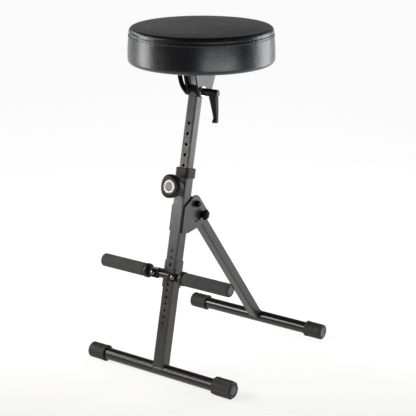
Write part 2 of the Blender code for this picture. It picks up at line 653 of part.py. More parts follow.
def leg_lock(parent, knob_frame, dark_steel, plastic):
    """Lock bolt through the plates' slots, its nut, and the small star knob that tightens it."""
    place = (0, 0, -LOCK_RADIUS)
    face = PLATE_OUTER + GAP
    floor = face + LOCK_KNOB_DEPTH * 2 / 3
    tip = -(face + BOLT_HEAD_DEPTH + BOLT_TAIL)
    piece("leg_lock_bolt", rod(LOCK_BOLT, tip, floor, "X"), dark_steel, parent, place)
    shape = hexagon((LOCK_BOLT + LOCK_NUT) / 4)
    ring = washer(LOCK_BOLT + 2 * GAP, LOCK_NUT, -face, -(face + BOLT_HEAD_DEPTH), shape=shape)
    piece("leg_lock_nut", ring, dark_steel, parent, place)

    radius, bore = LOCK_KNOB / 2, LOCK_BOLT / 2 + GAP
    hub = (radius + bore) / 2
    end = face + LOCK_KNOB_DEPTH
    edge = LOCK_KNOB_DEPTH / 6
    collar = face + LOCK_KNOB_DEPTH / 4
    profile = [(0, end), (radius - 2 * edge, end), (radius, end - edge), (radius, collar + edge)]
    profile += [(hub, collar), (hub, face), (bore, face), (bore, floor + GAP), (0, floor + GAP)]
    star = lobes(STAR_LOBES, STAR_HEIGHT, 0, hub, radius)
    piece("leg_lock_knob", turned(profile, "X", 2 * ROUND_SIDES, shape=star), plastic, knob_frame)


def footrest_body(parent, steel, gloss, dark_steel):
    """The sleeve that slides on the column, its cross tube with forked ends, and its fasteners."""
    bore = COLUMN_WIDTH + 2 * SLEEVE_FIT
    end = SLEEVE_LENGTH / 2
    corner = TUBE_CORNER + SLEEVE_WALL
    rows = [(2 * SLEEVE_HALF, corner, -end), (2 * SLEEVE_HALF, corner, end)]
    rows += [(bore, TUBE_CORNER, end), (bore, TUBE_CORNER, -end)]
    sleeve = piece("footrest_sleeve", square_rows(rows, ring=True), steel, parent)
    half_pitch = SCREW_PITCHES * COLUMN_HOLE_PITCH / 2
    holes = bmesh.new()
    for name, height in (("lower", -half_pitch), ("upper", half_pitch)):
        spot = (0, 0, height)
        rod(PIN_DIAMETER + 2 * GAP, -2 * SLEEVE_HALF, 0, "Y", spot, bm=holes)
        profile = domed_screw(PIN_HEAD, PIN_HEAD_DEPTH, PIN_DIAMETER, -(SLEEVE_HALF + GAP), -bore / 2)
        screw = turned(profile, "Y", SMALL_SIDES, centre=spot)
        piece(f"footrest_screw_{name}", screw, dark_steel, parent)
    cut(sleeve, holes)

    web = ARM_BOLT_X - EAR_RADIUS - GAP
    tube = rod(CROSS_TUBE, -web, web, "X", (0, EAR_Y, 0), ROUND_SIDES)
    bracket = piece("footrest_crossbar", tube, gloss, parent)
    pad = rounded(CROSS_PAD, CROSS_PAD, CROSS_PAD / 5)
    fuse(bracket, plate(pad, EAR_Y, -(SLEEVE_HALF + GAP), "Y"))
    holes = bmesh.new()
    for name, side in (("left", -1), ("right", 1)):
        bolt_x = side * ARM_BOLT_X
        tip = arc((bolt_x, 0), EAR_RADIUS, -pi / 2, -pi / 2 + side * pi, 10)
        root = side * (web - EAR_LAP)
        outline = tip + [(root, EAR_RADIUS), (root, -EAR_RADIUS)]
        for way in (-1, 1):
            outer = EAR_Y + way * EAR_RADIUS
            fuse(bracket, plate(outline, outer, outer - way * EAR_THICKNESS, "Y"))
        rod(ARM_BOLT + 2 * GAP, -2 * EAR_RADIUS, 2 * EAR_RADIUS, "Y", (bolt_x, EAR_Y, 0), bm=holes)
        arm_fasteners(name, bolt_x, parent, dark_steel)
    cut(bracket, holes)


def arm_fasteners(name, bolt_x, parent, dark_steel):
    """The domed bolt that a footrest arm turns on, and its nut."""
    spot = (bolt_x, EAR_Y, 0)
    face = -(EAR_RADIUS + GAP)
    back = -face
    tip = back + ARM_NUT_DEPTH + BOLT_TAIL
    profile = domed_screw(ARM_BOLT_HEAD, ARM_BOLT_HEAD_DEPTH, ARM_BOLT, face, tip)
    piece(f"footrest_bolt_{name}", turned(profile, "Y", SMALL_SIDES), dark_steel, parent, spot)
    shape = hexagon((ARM_BOLT + LOCK_NUT) / 4)
    ring = washer(ARM_BOLT + 2 * GAP, LOCK_NUT, back, back + ARM_NUT_DEPTH, "Y", shape=shape)
    piece(f"footrest_nut_{name}", ring, dark_steel, parent, spot)


def footrest_arm(name, side, parent, steel, foam, plastic):
    """One folding arm: tongue in the fork, tube, foam grip and end plug. Its heel stops it level."""
    tongue = EAR_RADIUS - EAR_THICKNESS - GAP
    core = ARM_TUBE / 4
    deep = NECK_LENGTH + ARM_TUBE / 2
    heel = arc((0, 0), EAR_RADIUS, pi / 2, pi, 6)
    outline = [(deep, core), (NECK_LENGTH, core), (NECK_LENGTH, EAR_RADIUS)] + heel
    outline += [(-EAR_RADIUS, -EAR_RADIUS), (NECK_LENGTH, -EAR_RADIUS), (NECK_LENGTH, -core), (deep, -core)]
    body = plate([(side * u, v) for u, v in outline], -tongue, tongue, "Y")
    arm = piece(f"footrest_arm_{name}", body, steel, parent)
    tube_end = ARM_LENGTH - GRIP_PLUG_DEPTH - GAP
    fuse(arm, rod(ARM_TUBE, side * (NECK_LENGTH - EAR_LAP), side * tube_end, "X", sides=ROUND_SIDES))
    bore = ARM_TUBE - 2 * ARM_WALL
    hollow = rod(bore, side * (NECK_LENGTH + ARM_TUBE), side * ARM_LENGTH, "X", sides=ROUND_SIDES)
    cut(arm, rod(ARM_BOLT + 2 * GAP, -EAR_RADIUS, EAR_RADIUS, "Y", bm=hollow))

    start = NECK_LENGTH + GAP
    inner, outer = ARM_TUBE / 2 + GAP, GRIP_DIAMETER / 2
    loop = [(inner, start)] + arc((outer - GRIP_EDGE, start + GRIP_EDGE), GRIP_EDGE, -pi / 2, 0, 3)
    loop += arc((outer - GRIP_EDGE, ARM_LENGTH - GRIP_EDGE), GRIP_EDGE, 0, pi / 2, 3) + [(inner, ARM_LENGTH)]
    grip = turned([(r, side * t) for r, t in loop], "X", ring=True)
    piece(f"footrest_grip_{name}", grip, foam, parent)

    spigot = bore / 2 - GAP
    seat = ARM_LENGTH - GRIP_PLUG_DEPTH
    edge = GRIP_PLUG_DEPTH / 3
    rim = ARM_TUBE / 2
    profile = [(0, ARM_LENGTH), (rim - edge, ARM_LENGTH), (rim, ARM_LENGTH - edge), (rim, seat)]
    profile += [(spigot, seat), (spigot, seat - rim), (0, seat - rim)]
    plug = turned([(r, side * t) for r, t in profile], "X")
    piece(f"footrest_plug_{name}", plug, plastic, parent)


def cushion_profile():
    """Half section of the cushion, from the middle of the top round to the pocket for the board."""
    seam, widest = SEAM_DIAMETER / 2, SEAT_DIAMETER / 2
    shoulder = SEAT_RISE + SEAT_THICKNESS
    seam_height = shoulder - SEAM_DROP
    flat = seam - SHOULDER
    top = [(flat * k / 6, shoulder + CROWN * (1 - (k / 6) ** 2)) for k in range(7)]
    turn = [(flat + SHOULDER * sin(a), seam_height + SEAM_DROP * cos(a)) for a in (pi / 6, pi / 3)]
    seam_half = 2 * SEAM_GROOVE
    groove = [(seam, seam_height + seam_half), (seam - SEAM_GROOVE, seam_height)]
    groove.append((seam, seam_height - seam_half))
    side_low = SEAT_RISE + SEAT_EDGE
    reach = seam_height - seam_half - side_low
    side = []
    for share in (0.75, 0.5, 0.25):
        side.append((seam + (widest - seam) * sin((1 - share) * pi / 2), side_low + reach * share))
    foot = arc((widest - SEAT_EDGE, side_low), SEAT_EDGE, 0, -pi / 2, 4)
    pocket = BOARD_DIAMETER / 2 + GAP
    ceiling = BOARD_BASE + BOARD_THICKNESS + GAP
    return top + turn + groove + side + foot + [(pocket, SEAT_RISE), (pocket, ceiling), (0, ceiling)]


def seat(parent, leather, wood, steel, dark_steel):
    """Cushion, board, fixing plate and its four screws."""
    middle = (0, SEAT_OFFSET, 0)
    piece("seat_cushion", turned(cushion_profile(), "Z", SEAT_SIDES), leather, parent, middle)
    top = BOARD_BASE + BOARD_THICKNESS
    panel = rod(BOARD_DIAMETER, BOARD_BASE, top, "Z", sides=SEAT_SIDES)
    board = piece("seat_board", panel, wood, parent, middle)
    outline = rounded(SEAT_PLATE_WIDTH, SEAT_PLATE_LENGTH, SEAT_PLATE_CORNER)
    outline = [(x, y + SEAT_PLATE_Y) for x, y in outline]
    fixing = plate(outline, SEAT_PLATE_BASE, SEAT_PLATE_BASE + SEAT_PLATE_THICKNESS, "Z")
    fixing = piece("seat_plate", fixing, steel, parent)
    plate_holes, board_holes = bmesh.new(), bmesh.new()
    x_reach = SEAT_PLATE_WIDTH / 2 - SCREW_INSET
    y_reach = SEAT_PLATE_LENGTH / 2 - SCREW_INSET
    corners = ((-1, -1), (1, -1), (1, 1), (-1, 1))
    for number, (x, y) in enumerate(corners, start=1):
        spot = (x * x_reach, SEAT_PLATE_Y + y * y_reach, 0)
        bite = BOARD_BASE + SEAT_SCREW_BITE
        hole = SEAT_SCREW + 2 * GAP
        rod(hole, 0, top, "Z", spot, bm=plate_holes)
        rod(hole, 0, bite + GAP, "Z", (spot[0], spot[1] - SEAT_OFFSET, 0), bm=board_holes)
        face = SEAT_PLATE_BASE - GAP
        profile = domed_screw(SEAT_SCREW_HEAD, SEAT_SCREW_HEAD_DEPTH, SEAT_SCREW, face, bite)
        screw = turned(profile, "Z", SMALL_SIDES)
        piece(f"seat_screw_{number}", screw, dark_steel, parent, spot)
    cut(fixing, plate_holes)
    cut(board, board_holes)


def tangent(spot, radius, way):
    """Angle at which a line from a spot touches a circle round the origin."""
    return atan2(spot[1], spot[0]) + way * acos(radius / hypot(*spot))


def tilt_head(parent, steel, dark_steel, plastic, bright):
    """Cheeks under the seat, the bolt through them and the post, washers, and the curved stay."""
    front, rear = (-CHEEK_FRONT, CHEEK_TOP), (CHEEK_REAR, CHEEK_TOP)
    heel, chin = (CHEEK_HEEL, CHEEK_HEEL_RISE), (CHEEK_CHIN, -CHEEK_CHIN_DROP)
    first = tangent(front, CHEEK_RADIUS, 1)
    last = tangent(chin, CHEEK_RADIUS, -1) + 2 * pi
    outline = [front] + arc((0, 0), CHEEK_RADIUS, first, last, 12) + [chin, heel, rear]
    bore = TILT_BOLT + 2 * GAP
    for name, side in (("left", -1), ("right", 1)):
        shape = plate(outline, side * CHEEK_INNER, side * CHEEK_OUTER, "X", CHEEK_EDGE)
        cheek = piece(f"seat_cheek_{name}", shape, steel, parent)
        cut(cheek, rod(bore, -2 * CHEEK_OUTER, 2 * CHEEK_OUTER, "X"))
        start = side * (POST_WIDTH / 2 + GAP)
        ring = washer(bore, FRICTION_DIAMETER, start, start + side * FRICTION_WASHER)
        piece(f"friction_washer_{name}", ring, plastic, parent)

    start = -(CHEEK_OUTER + GAP)
    piece("stay_spacer", washer(bore, STAY_SPACER_DIAMETER, start, start - STAY_SPACER), steel, parent)
    stay_outer = STAY_INNER + STAY_THICKNESS
    stay = piece("tilt_stay", plate(stay_outline(), -STAY_INNER, -stay_outer, "X"), dark_steel, parent)
    cut(stay, rod(bore, -2 * stay_outer, 0, "X"))
    start = CHEEK_OUTER + GAP
    piece("lever_washer", washer(bore, LEVER_WASHER_DIAMETER, start, start + LEVER_WASHER), bright, parent)
    head_at = -(stay_outer + GAP)
    shape = hexagon(TILT_BOLT / 2)
    bolt = headed_bolt(TILT_BOLT, BOLT_HEAD, BOLT_HEAD_DEPTH, head_at, LEVER_END - LEVER_HUB_FLOOR, shape)
    piece("tilt_bolt", bolt, dark_steel, parent)


def stay_outline():
    """Side view of the stay: an eye on the bolt, and a strap that curves up to the seat plate."""
    half = STAY_WIDTH / 2
    top, belly = (-STAY_FRONT, CHEEK_TOP), (-STAY_BELLY, 0)
    front, rear = [], []
    for k in range(6):
        t = 2 * k / 15  # ends outside the eye
        y, z = [(1 - t) ** 2 * a + 2 * t * (1 - t) * b for a, b in zip(top, belly)]
        run, drop = [2 * (1 - t) * (b - a) - 2 * t * b for a, b in zip(top, belly)]
        across = (-drop * half / hypot(run, drop), run * half / hypot(run, drop))
        rear.append((y + across[0], z + across[1]))
        front.append((y - across[0], z - across[1]))
    rear[0], front[0] = (half - STAY_FRONT, CHEEK_TOP), (-half - STAY_FRONT, CHEEK_TOP)
    join = pi - asin(half / STAY_EYE)
    return front + arc((0, 0), STAY_EYE, -join, join, 14) + rear[::-1]


def tilt_lever(parent, plastic, inlay):
    """The clamping lever: hub on the bolt, hanging arm with a turned toe, and the hub's button."""
    hub = rod(LEVER_HUB, LEVER_START, LEVER_END, "X", sides=ROUND_SIDES)
    lever = piece("tilt_lever", hub, plastic, parent)
    root, tip = LEVER_ROOT / 2, LEVER_TIP / 2
    knuckle = LEVER_LENGTH - 3 * tip
    front, rear = [], []
    for k in range(1, 6):
        middle = LEVER_BOW * sin(k / 5 * pi / 2)
        half = tip + (root - tip) * (1 - (k / 5) ** 2)
        rear.append((middle + half, -knuckle * k / 5))
        front.append((middle - half, -knuckle * k / 5))
    toe = LEVER_BOW - tip - LEVER_TOE
    outline = arc((0, 0), root, pi, 0, 10) + rear
    outline += arc((LEVER_BOW, tip - LEVER_LENGTH), tip, 0, -pi / 2, 3)
    outline += [(toe, tip / 2 - LEVER_LENGTH), (toe, tip - LEVER_LENGTH)] + front[::-1]
    end = LEVER_END - LEVER_SET
    fuse(lever, plate(outline, end - LEVER_THICKNESS, end, "X", LEVER_TIP / 8))
    top, clear = LEVER_HUB / 2 + GAP, end - LEVER_THICKNESS - LEVER_TIP
    taper = [(clear, -top)]
    for k in range(6):
        across = LEVER_FOOT + (LEVER_THICKNESS - LEVER_FOOT) * (1 - k / 5) ** 1.4
        taper.append((end - across, -top - k / 5 * (LEVER_LENGTH - top)))
    taper += [(end - LEVER_FOOT, -LEVER_LENGTH - LEVER_TIP), (clear, -LEVER_LENGTH - LEVER_TIP)]
    cut(lever, plate(taper, -LEVER_LENGTH, LEVER_LENGTH, "Y"))
    cut(lever, rod(TILT_BOLT + 2 * GAP, 0, LEVER_END - LEVER_HUB_FLOOR + GAP, "X", sides=ROUND_SIDES))
    start = LEVER_END + GAP
    button = turned(disc(BUTTON_DIAMETER, start, start + BUTTON_DEPTH), "X")
    piece("lever_button", button, inlay, parent)


def main():
    """Clear the scene and build every piece on the frame of the body that it moves with."""
    for obj in list(bpy.data.objects):
        bpy.data.objects.remove(obj)

    steel = finish("dark_powder_coat", (0.045, 0.043, 0.042), 0.45, 0.3)
    gloss = finish("gloss_black_paint", (0.02, 0.02, 0.021), 0.25, 0.2)
    dark_steel = finish("blackened_steel", (0.03, 0.03, 0.032), 0.35, 0.8)
    bright = finish("zinc_steel", (0.7, 0.7, 0.69), 0.3, 1.0)
    rubber = finish("cap_rubber", (0.04, 0.04, 0.04), 0.7)
    plastic = finish("black_plastic", (0.02, 0.02, 0.021), 0.4)
    foam = finish("grip_foam", (0.045, 0.045, 0.047), 0.85)
    leather = finish("imitation_leather", (0.02, 0.02, 0.021), 0.45)
    wood = finish("seat_plywood", (0.5, 0.37, 0.23), 0.6)
    inlay = finish("light_inlay", (0.8, 0.8, 0.8), 0.4)
    grey = finish("grey_plastic", (0.3, 0.3, 0.31), 0.5)

    bar_axis = (0, FRONT_Y, BAR_HEIGHT)
    front = frame("front_bar_axis", None, bar_axis)
    foot_bar("front_foot_bar", FRONT_SPAN, front, gloss)
    end_cap("front_end_cap_left", FRONT_SPAN, -1, front, rubber)
    levelling_cap(frame("levelling_axis", front), rubber, grey)

    stem = frame("column_axis", None, bar_axis, -COLUMN_LEAN)
    column(stem, steel, plastic)
    clamp = frame("clamp_axis", stem, (0, -(COLUMN_HALF + GAP), CLAMP_HEIGHT))
    screw = frame("clamp_screw_axis", clamp)
    height_clamp(clamp, screw, frame("height_knob_axis", screw), steel, plastic, inlay)
    hinge_plates(stem, steel)
    pivot = frame("leg_pivot", stem, (0, PIVOT_Y, PIVOT_HEIGHT))
    pivot_fasteners(pivot, dark_steel, plastic)

    leg = frame("leg_axis", pivot, turn_x=FOLD)
    rear_leg(leg, steel, plastic)
    leg_lock(leg, frame("lock_knob_axis", leg, (0, 0, -LOCK_RADIUS)), dark_steel, plastic)
    rear = frame("rear_bar_axis", leg, (0, 0, -LEG_LENGTH), -LEG_SPREAD)
    foot_bar("rear_foot_bar", REAR_SPAN, rear, gloss)
    end_cap("rear_end_cap_left", REAR_SPAN, -1, rear, rubber)
    end_cap("rear_end_cap_right", REAR_SPAN, 1, rear, rubber)

    footrest = frame("footrest_slide", stem, (0, 0, FOOTREST_HEIGHT))
    footrest_body(footrest, steel, gloss, dark_steel)
    for name, side in (("left", -1), ("right", 1)):
        hinge = frame(f"footrest_arm_axis_{name}", footrest, (side * ARM_BOLT_X, EAR_Y, 0))
        footrest_arm(name, side, hinge, steel, foam, grey)

    post = frame("post_slide", stem)
    seat_post(post, steel, plastic)
    tilt = frame("tilt_axis", post, (0, 0, TILT_HEIGHT), COLUMN_LEAN)
    seat(tilt, leather, wood, steel, dark_steel)
    tilt_head(tilt, steel, dark_steel, plastic, bright)
    tilt_lever(frame("lever_axis", tilt), plastic, grey)


main()
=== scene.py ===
import json
import math

import bmesh
import bpy
import numpy as np
from mathutils import Matrix, Vector, kdtree, noise


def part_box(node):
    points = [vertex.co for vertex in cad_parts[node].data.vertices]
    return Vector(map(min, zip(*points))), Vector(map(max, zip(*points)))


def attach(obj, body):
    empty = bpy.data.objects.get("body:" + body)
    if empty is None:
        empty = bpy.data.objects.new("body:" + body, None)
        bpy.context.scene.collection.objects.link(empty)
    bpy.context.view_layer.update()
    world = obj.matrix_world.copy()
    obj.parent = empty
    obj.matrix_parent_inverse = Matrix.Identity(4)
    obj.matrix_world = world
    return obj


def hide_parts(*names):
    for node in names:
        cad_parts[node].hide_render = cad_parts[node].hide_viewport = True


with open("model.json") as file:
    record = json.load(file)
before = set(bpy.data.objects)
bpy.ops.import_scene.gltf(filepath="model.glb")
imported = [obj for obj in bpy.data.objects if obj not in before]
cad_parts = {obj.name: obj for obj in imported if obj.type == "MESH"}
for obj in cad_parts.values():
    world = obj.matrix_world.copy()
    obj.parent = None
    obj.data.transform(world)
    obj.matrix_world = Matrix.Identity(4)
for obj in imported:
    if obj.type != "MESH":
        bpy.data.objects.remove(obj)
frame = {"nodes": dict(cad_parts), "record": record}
nodes = frame["nodes"]
scene = bpy.context.scene
scene.view_settings.view_transform = "Standard"
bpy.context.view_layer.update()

cameraSetup = {
    "place": (1.7052, -2.4222, 1.2962),
    "heading": 35.27,
    "pitch": 72.672,
    "roll": -0.06,
    "lens": 109.7,
    "sensor": 36.0,
}


def placeCamera(setup):
    data = bpy.data.cameras.new("photoCamera")
    data.sensor_width = setup["sensor"]
    data.lens = setup["lens"]
    camera = bpy.data.objects.new("photoCamera", data)
    scene.collection.objects.link(camera)
    turn = Matrix.Rotation(math.radians(setup["heading"]), 4, "Z")
    turn = turn @ Matrix.Rotation(math.radians(setup["pitch"]), 4, "X")
    turn = turn @ Matrix.Rotation(math.radians(setup["roll"]), 4, "Z")
    camera.matrix_world = Matrix.Translation(setup["place"]) @ turn
    scene.camera = camera


placeCamera(cameraSetup)
print("camera placed")


# small helpers for building node finishes

noiseSpan = (0.3, 0.7)   # most values of a noise texture lie between these


def startFinish(name, sockets):
    finish = bpy.data.materials.new(name)
    finish.use_nodes = True
    shader = finish.node_tree.nodes["Principled BSDF"]
    for socket, value in sockets.items():
        shader.inputs[socket].default_value = value
    return finish, shader


def addNode(finish, kind, inputs, **settings):
    node = finish.node_tree.nodes.new(kind)
    for key, value in settings.items():
        setattr(node, key, value)
    for key, value in inputs.items():
        if isinstance(value, bpy.types.NodeSocket):
            finish.node_tree.links.new(value, node.inputs[key])
        else:
            node.inputs[key].default_value = value
    return node


def feed(finish, shader, **sockets):
    for name, value in sockets.items():
        finish.node_tree.links.new(value, shader.inputs[name.replace("_", " ")])


def place(finish):
    return addNode(finish, "ShaderNodeTexCoord", {}).outputs["Object"]


def surface(finish, output):
    return addNode(finish, "ShaderNodeNewGeometry", {}).outputs[output]


def stretch(finish, where, scale=(1, 1, 1), turn=(0, 0, 0)):
    inputs = {"Vector": where, "Scale": scale, "Rotation": turn}
    return addNode(finish, "ShaderNodeMapping", inputs).outputs["Vector"]


def axis(finish, vector, name):
    return addNode(finish, "ShaderNodeSeparateXYZ", {"Vector": vector}).outputs[name]


def cloud(finish, where, scale, detail=3.0, roughness=0.6):
    inputs = {"Vector": where, "Scale": scale, "Detail": detail, "Roughness": roughness}
    return addNode(finish, "ShaderNodeTexNoise", inputs).outputs["Fac"]


def cells(finish, where, scale, feature="F1"):
    inputs = {"Vector": where, "Scale": scale}
    return addNode(finish, "ShaderNodeTexVoronoi", inputs, feature=feature).outputs["Distance"]


def spread(finish, value, fromLow, fromHigh, toLow, toHigh):
    inputs = {"Value": value, "From Min": fromLow, "From Max": fromHigh}
    inputs.update({"To Min": toLow, "To Max": toHigh})
    return addNode(finish, "ShaderNodeMapRange", inputs).outputs["Result"]


def vary(finish, value, low, high):
    return spread(finish, value, *noiseSpan, low, high)


def sums(finish, first, second, how="ADD"):
    node = addNode(finish, "ShaderNodeMath", {0: first, 1: second}, operation=how)
    return node.outputs["Value"]


def product(finish, first, second):
    return sums(finish, first, second, "MULTIPLY")


def vectors(finish, how, *inputs):
    return addNode(finish, "ShaderNodeVectorMath", dict(enumerate(inputs)), operation=how).outputs


def tint(finish, value, dark, light, start=noiseSpan[0], end=noiseSpan[1]):
    ramp = addNode(finish, "ShaderNodeValToRGB", {"Fac": value})
    ramp.color_ramp.elements[0].position = start
    ramp.color_ramp.elements[0].color = (*dark, 1.0)
    ramp.color_ramp.elements[1].position = end
    ramp.color_ramp.elements[1].color = (*light, 1.0)
    return ramp.outputs["Color"]


def mixTint(finish, factor, under, over):
    node = addNode(finish, "ShaderNodeMix", {"Factor": factor}, data_type="RGBA")
    for index, colour in ((6, under), (7, over)):
        if isinstance(colour, bpy.types.NodeSocket):
            finish.node_tree.links.new(colour, node.inputs[index])
        else:
            node.inputs[index].default_value = (*colour, 1.0)
    return node.outputs[2]


def faded(colour, share):
    return tuple(share * channel for channel in colour)


def relief(finish, height, strength, depth, under=None):
    inputs = {"Height": height, "Strength": strength, "Distance": depth}
    if under is not None:
        inputs["Normal"] = under
    return addNode(finish, "ShaderNodeBump", inputs).outputs["Normal"]


def softEdge(finish, radius):
    return addNode(finish, "ShaderNodeBevel", {"Radius": radius}, samples=6).outputs["Normal"]


def rubbedEdge(finish, radius):
    # 0 on flats, towards 1 on outer and inner corners
    bend = vectors(finish, "DOT_PRODUCT", softEdge(finish, radius), surface(finish, "Normal"))["Value"]
    return spread(finish, bend, 1.0, 0.75, 0.0, 1.0)


# in the looks below, a span of four goes from the first two values to the last two

powderCoatLook = {
    "dark": (0.024, 0.0232, 0.0225),
    "light": (0.042, 0.0405, 0.039),
    "tones": (0.12, 0.42),
    "rub": (0.075, 0.073, 0.071),
    "rubEdge": 0.0012,
    # painted shade on the sheet's edges: its colour, where it starts and ends, and the roughness added
    # there
    "cut": (0.006, 0.006, 0.006),
    "cutSpan": (0.4, 0.8, 1.0, 0.0),
    "cutRough": 0.5,
    "grain": 1500,
    "patch": 22,
    "wear": 130,
    "wearSpan": (0.42, 0.7, 0.0, 0.55),
    "edge": 0.0006,
    "relief": (0.22, 0.00025),
    "roughness": (0.29, 0.38),
}


def powderCoat(look, name="powderCoat", cutEdges=False):
    finish, shader = startFinish(name, {"Specular IOR Level": 0.5})
    where = place(finish)
    fine = cloud(finish, where, look["grain"], 2.0)
    patch = cloud(finish, where, look["patch"], 4.0)
    base = tint(finish, product(finish, fine, patch), look["dark"], look["light"], *look["tones"])
    wear = spread(finish, cloud(finish, where, look["wear"], 4.0), *look["wearSpan"])
    rub = product(finish, rubbedEdge(finish, look["rubEdge"]), wear)
    base = mixTint(finish, rub, base, look["rub"])
    rough = vary(finish, patch, *look["roughness"])
    if cutEdges:
        # painted shade: faces square to X, the sheet's edges, are darkened to near black and made
        # rougher
        facing = axis(finish, surface(finish, "True Normal"), "X")
        cut = spread(finish, sums(finish, facing, 0.0, "ABSOLUTE"), *look["cutSpan"])
        base = mixTint(finish, cut, base, look["cut"])
        rough = sums(finish, rough, product(finish, cut, look["cutRough"]))
    normal = relief(finish, fine, *look["relief"], softEdge(finish, look["edge"]))
    feed(finish, shader, Base_Color=base, Roughness=rough, Normal=normal)
    return finish


glossPaintLook = {
    "dark": (0.006, 0.006, 0.0063),
    "light": (0.011, 0.0107, 0.0104),
    "patch": 40,
    "scuff": 900,
    "peel": 420,
    "edge": 0.0005,
    "relief": (0.05, 0.0003),
    "roughSpan": (0.1, 0.5, 0.15, 0.23),
}


def glossPaint(look):
    finish, shader = startFinish("glossPaint", {"Specular IOR Level": 0.5})
    where = place(finish)
    patch = cloud(finish, where, look["patch"], 5.0)
    scuff = cloud(finish, where, look["scuff"], 2.0)
    peel = cloud(finish, where, look["peel"], 1.0)
    base = tint(finish, patch, look["dark"], look["light"])
    rough = spread(finish, product(finish, patch, scuff), *look["roughSpan"])
    normal = relief(finish, peel, *look["relief"], softEdge(finish, look["edge"]))
    feed(finish, shader, Base_Color=base, Roughness=rough, Normal=normal)
    return finish


blackenedSteelLook = {
    "dark": (0.010, 0.010, 0.0105),
    "light": (0.026, 0.0255, 0.025),
    "rub": (0.055, 0.054, 0.053),
    "rubEdge": 0.0008,
    "patch": 260,
    "haze": 1300,
    "grain": 1900,
    "edge": 0.0006,
    "relief": (0.12, 0.0002),
    "roughness": (0.26, 0.42),
}


def blackenedSteel(look):
    finish, shader = startFinish("blackenedSteel", {"Metallic": 0.6})
    where = place(finish)
    patch = cloud(finish, where, look["patch"], 5.0)
    grain = cloud(finish, where, look["grain"])
    rub = product(finish, rubbedEdge(finish, look["rubEdge"]), patch)
    base = mixTint(finish, rub, tint(finish, patch, look["dark"], look["light"]), look["rub"])
    rough = vary(finish, cloud(finish, where, look["haze"]), *look["roughness"])
    normal = relief(finish, grain, *look["relief"], softEdge(finish, look["edge"]))
    feed(finish, shader, Base_Color=base, Roughness=rough, Normal=normal)
    return finish


zincSteelLook = {
    "dark": (0.55, 0.55, 0.54),
    "light": (0.78, 0.78, 0.77),
    "brush": (1, 14, 1),
    "lines": 700,
    "edge": 0.0004,
    "relief": (0.10, 0.0002),
    "roughness": (0.24, 0.40),
}
nickelLook = {
    **zincSteelLook,
    "dark": (0.12, 0.118, 0.115),
    "light": (0.19, 0.187, 0.183),
    "roughness": (0.16, 0.26),
}


def zincSteel(look, name="zincSteel"):
    finish, shader = startFinish(name, {"Metallic": 1.0})
    brushed = stretch(finish, place(finish), look["brush"])
    lines = cloud(finish, brushed, look["lines"], 3.0)
    base = tint(finish, lines, look["dark"], look["light"])
    rough = vary(finish, lines, *look["roughness"])
    normal = relief(finish, lines, *look["relief"], softEdge(finish, look["edge"]))
    feed(finish, shader, Base_Color=base, Roughness=rough, Normal=normal)
    return finish


capRubberLook = {
    "dark": (0.011, 0.011, 0.0108),
    "light": (0.025, 0.0248, 0.0243),
    "tones": (0.08, 0.42),
    # paler edges: wear, and a painted highlight along the caps' edges
    "worn": (0.13, 0.128, 0.125),
    "wearAndHighlightEdge": 0.0016,
    "wearAndHighlightSpan": (0.3, 0.65, 0.25, 0.8),
    "pebble": 1150,
    "patch": 60,
    "edge": 0.0009,
    "relief": (0.32, 0.0005),
    "roughness": (0.55, 0.72),
}
# a paler copy of the cap rubber, for the levelling cap's ribs and lip: painted highlight
ribHighlightRubberLook = {
    **capRubberLook,
    "dark": (0.040, 0.040, 0.039),
    "light": (0.085, 0.084, 0.082),
    "worn": (0.16, 0.158, 0.154),
}


def capRubber(look, name="capRubber"):
    finish, shader = startFinish(name, {"Specular IOR Level": 0.4})
    where = place(finish)
    pebble = cells(finish, where, look["pebble"])
    patch = cloud(finish, where, look["patch"], 4.0)
    base = tint(finish, product(finish, pebble, patch), look["dark"], look["light"], *look["tones"])
    # edges made paler in patches: wear, and a painted highlight along the edges
    wear = spread(finish, patch, *look["wearAndHighlightSpan"])
    worn = product(finish, rubbedEdge(finish, look["wearAndHighlightEdge"]), wear)
    base = mixTint(finish, worn, base, look["worn"])
    rough = vary(finish, patch, *look["roughness"])
    normal = relief(finish, pebble, *look["relief"], softEdge(finish, look["edge"]))
    feed(finish, shader, Base_Color=base, Roughness=rough, Normal=normal)
    return finish


blackPlasticLook = {
    "dark": (0.0045, 0.0045, 0.0047),
    "light": (0.011, 0.011, 0.0113),
    "shine": 0.36,
    "spark": 1700,
    "patch": 70,
    "edge": 0.0008,
    "relief": (0.18, 0.0003),
    "roughSpan": (0.1, 0.45, 0.34, 0.50),
}
leverPlasticLook = {**blackPlasticLook, "shine": 0.11}
collarPlasticLook = {**blackPlasticLook, "shine": 0.20}
starPlasticLook = {
    **blackPlasticLook,
    "dark": (0.0016, 0.0016, 0.0017),
    "light": (0.0045, 0.0045, 0.0047),
    "shine": 0.05,
}


def blackPlastic(look, name="blackPlastic"):
    finish, shader = startFinish(name, {"Specular IOR Level": look["shine"]})
    where = place(finish)
    spark = cloud(finish, where, look["spark"], 3.0)
    patch = cloud(finish, where, look["patch"], 4.0)
    base = tint(finish, patch, look["dark"], look["light"])
    rough = spread(finish, product(finish, spark, patch), *look["roughSpan"])
    normal = relief(finish, spark, *look["relief"], softEdge(finish, look["edge"]))
    feed(finish, shader, Base_Color=base, Roughness=rough, Normal=normal)
    return finish


greyPlasticLook = {
    "dark": (0.070, 0.070, 0.072),
    "light": (0.115, 0.115, 0.118),
    "spark": 1500,
    "edge": 0.0006,
    "relief": (0.16, 0.0003),
    "roughness": (0.38, 0.52),
}


def greyPlastic(look):
    finish, shader = startFinish("greyPlastic", {"Specular IOR Level": 0.5})
    spark = cloud(finish, place(finish), look["spark"], 3.0)
    base = tint(finish, spark, look["dark"], look["light"])
    rough = vary(finish, spark, *look["roughness"])
    normal = relief(finish, spark, *look["relief"], softEdge(finish, look["edge"]))
    feed(finish, shader, Base_Color=base, Roughness=rough, Normal=normal)
    return finish


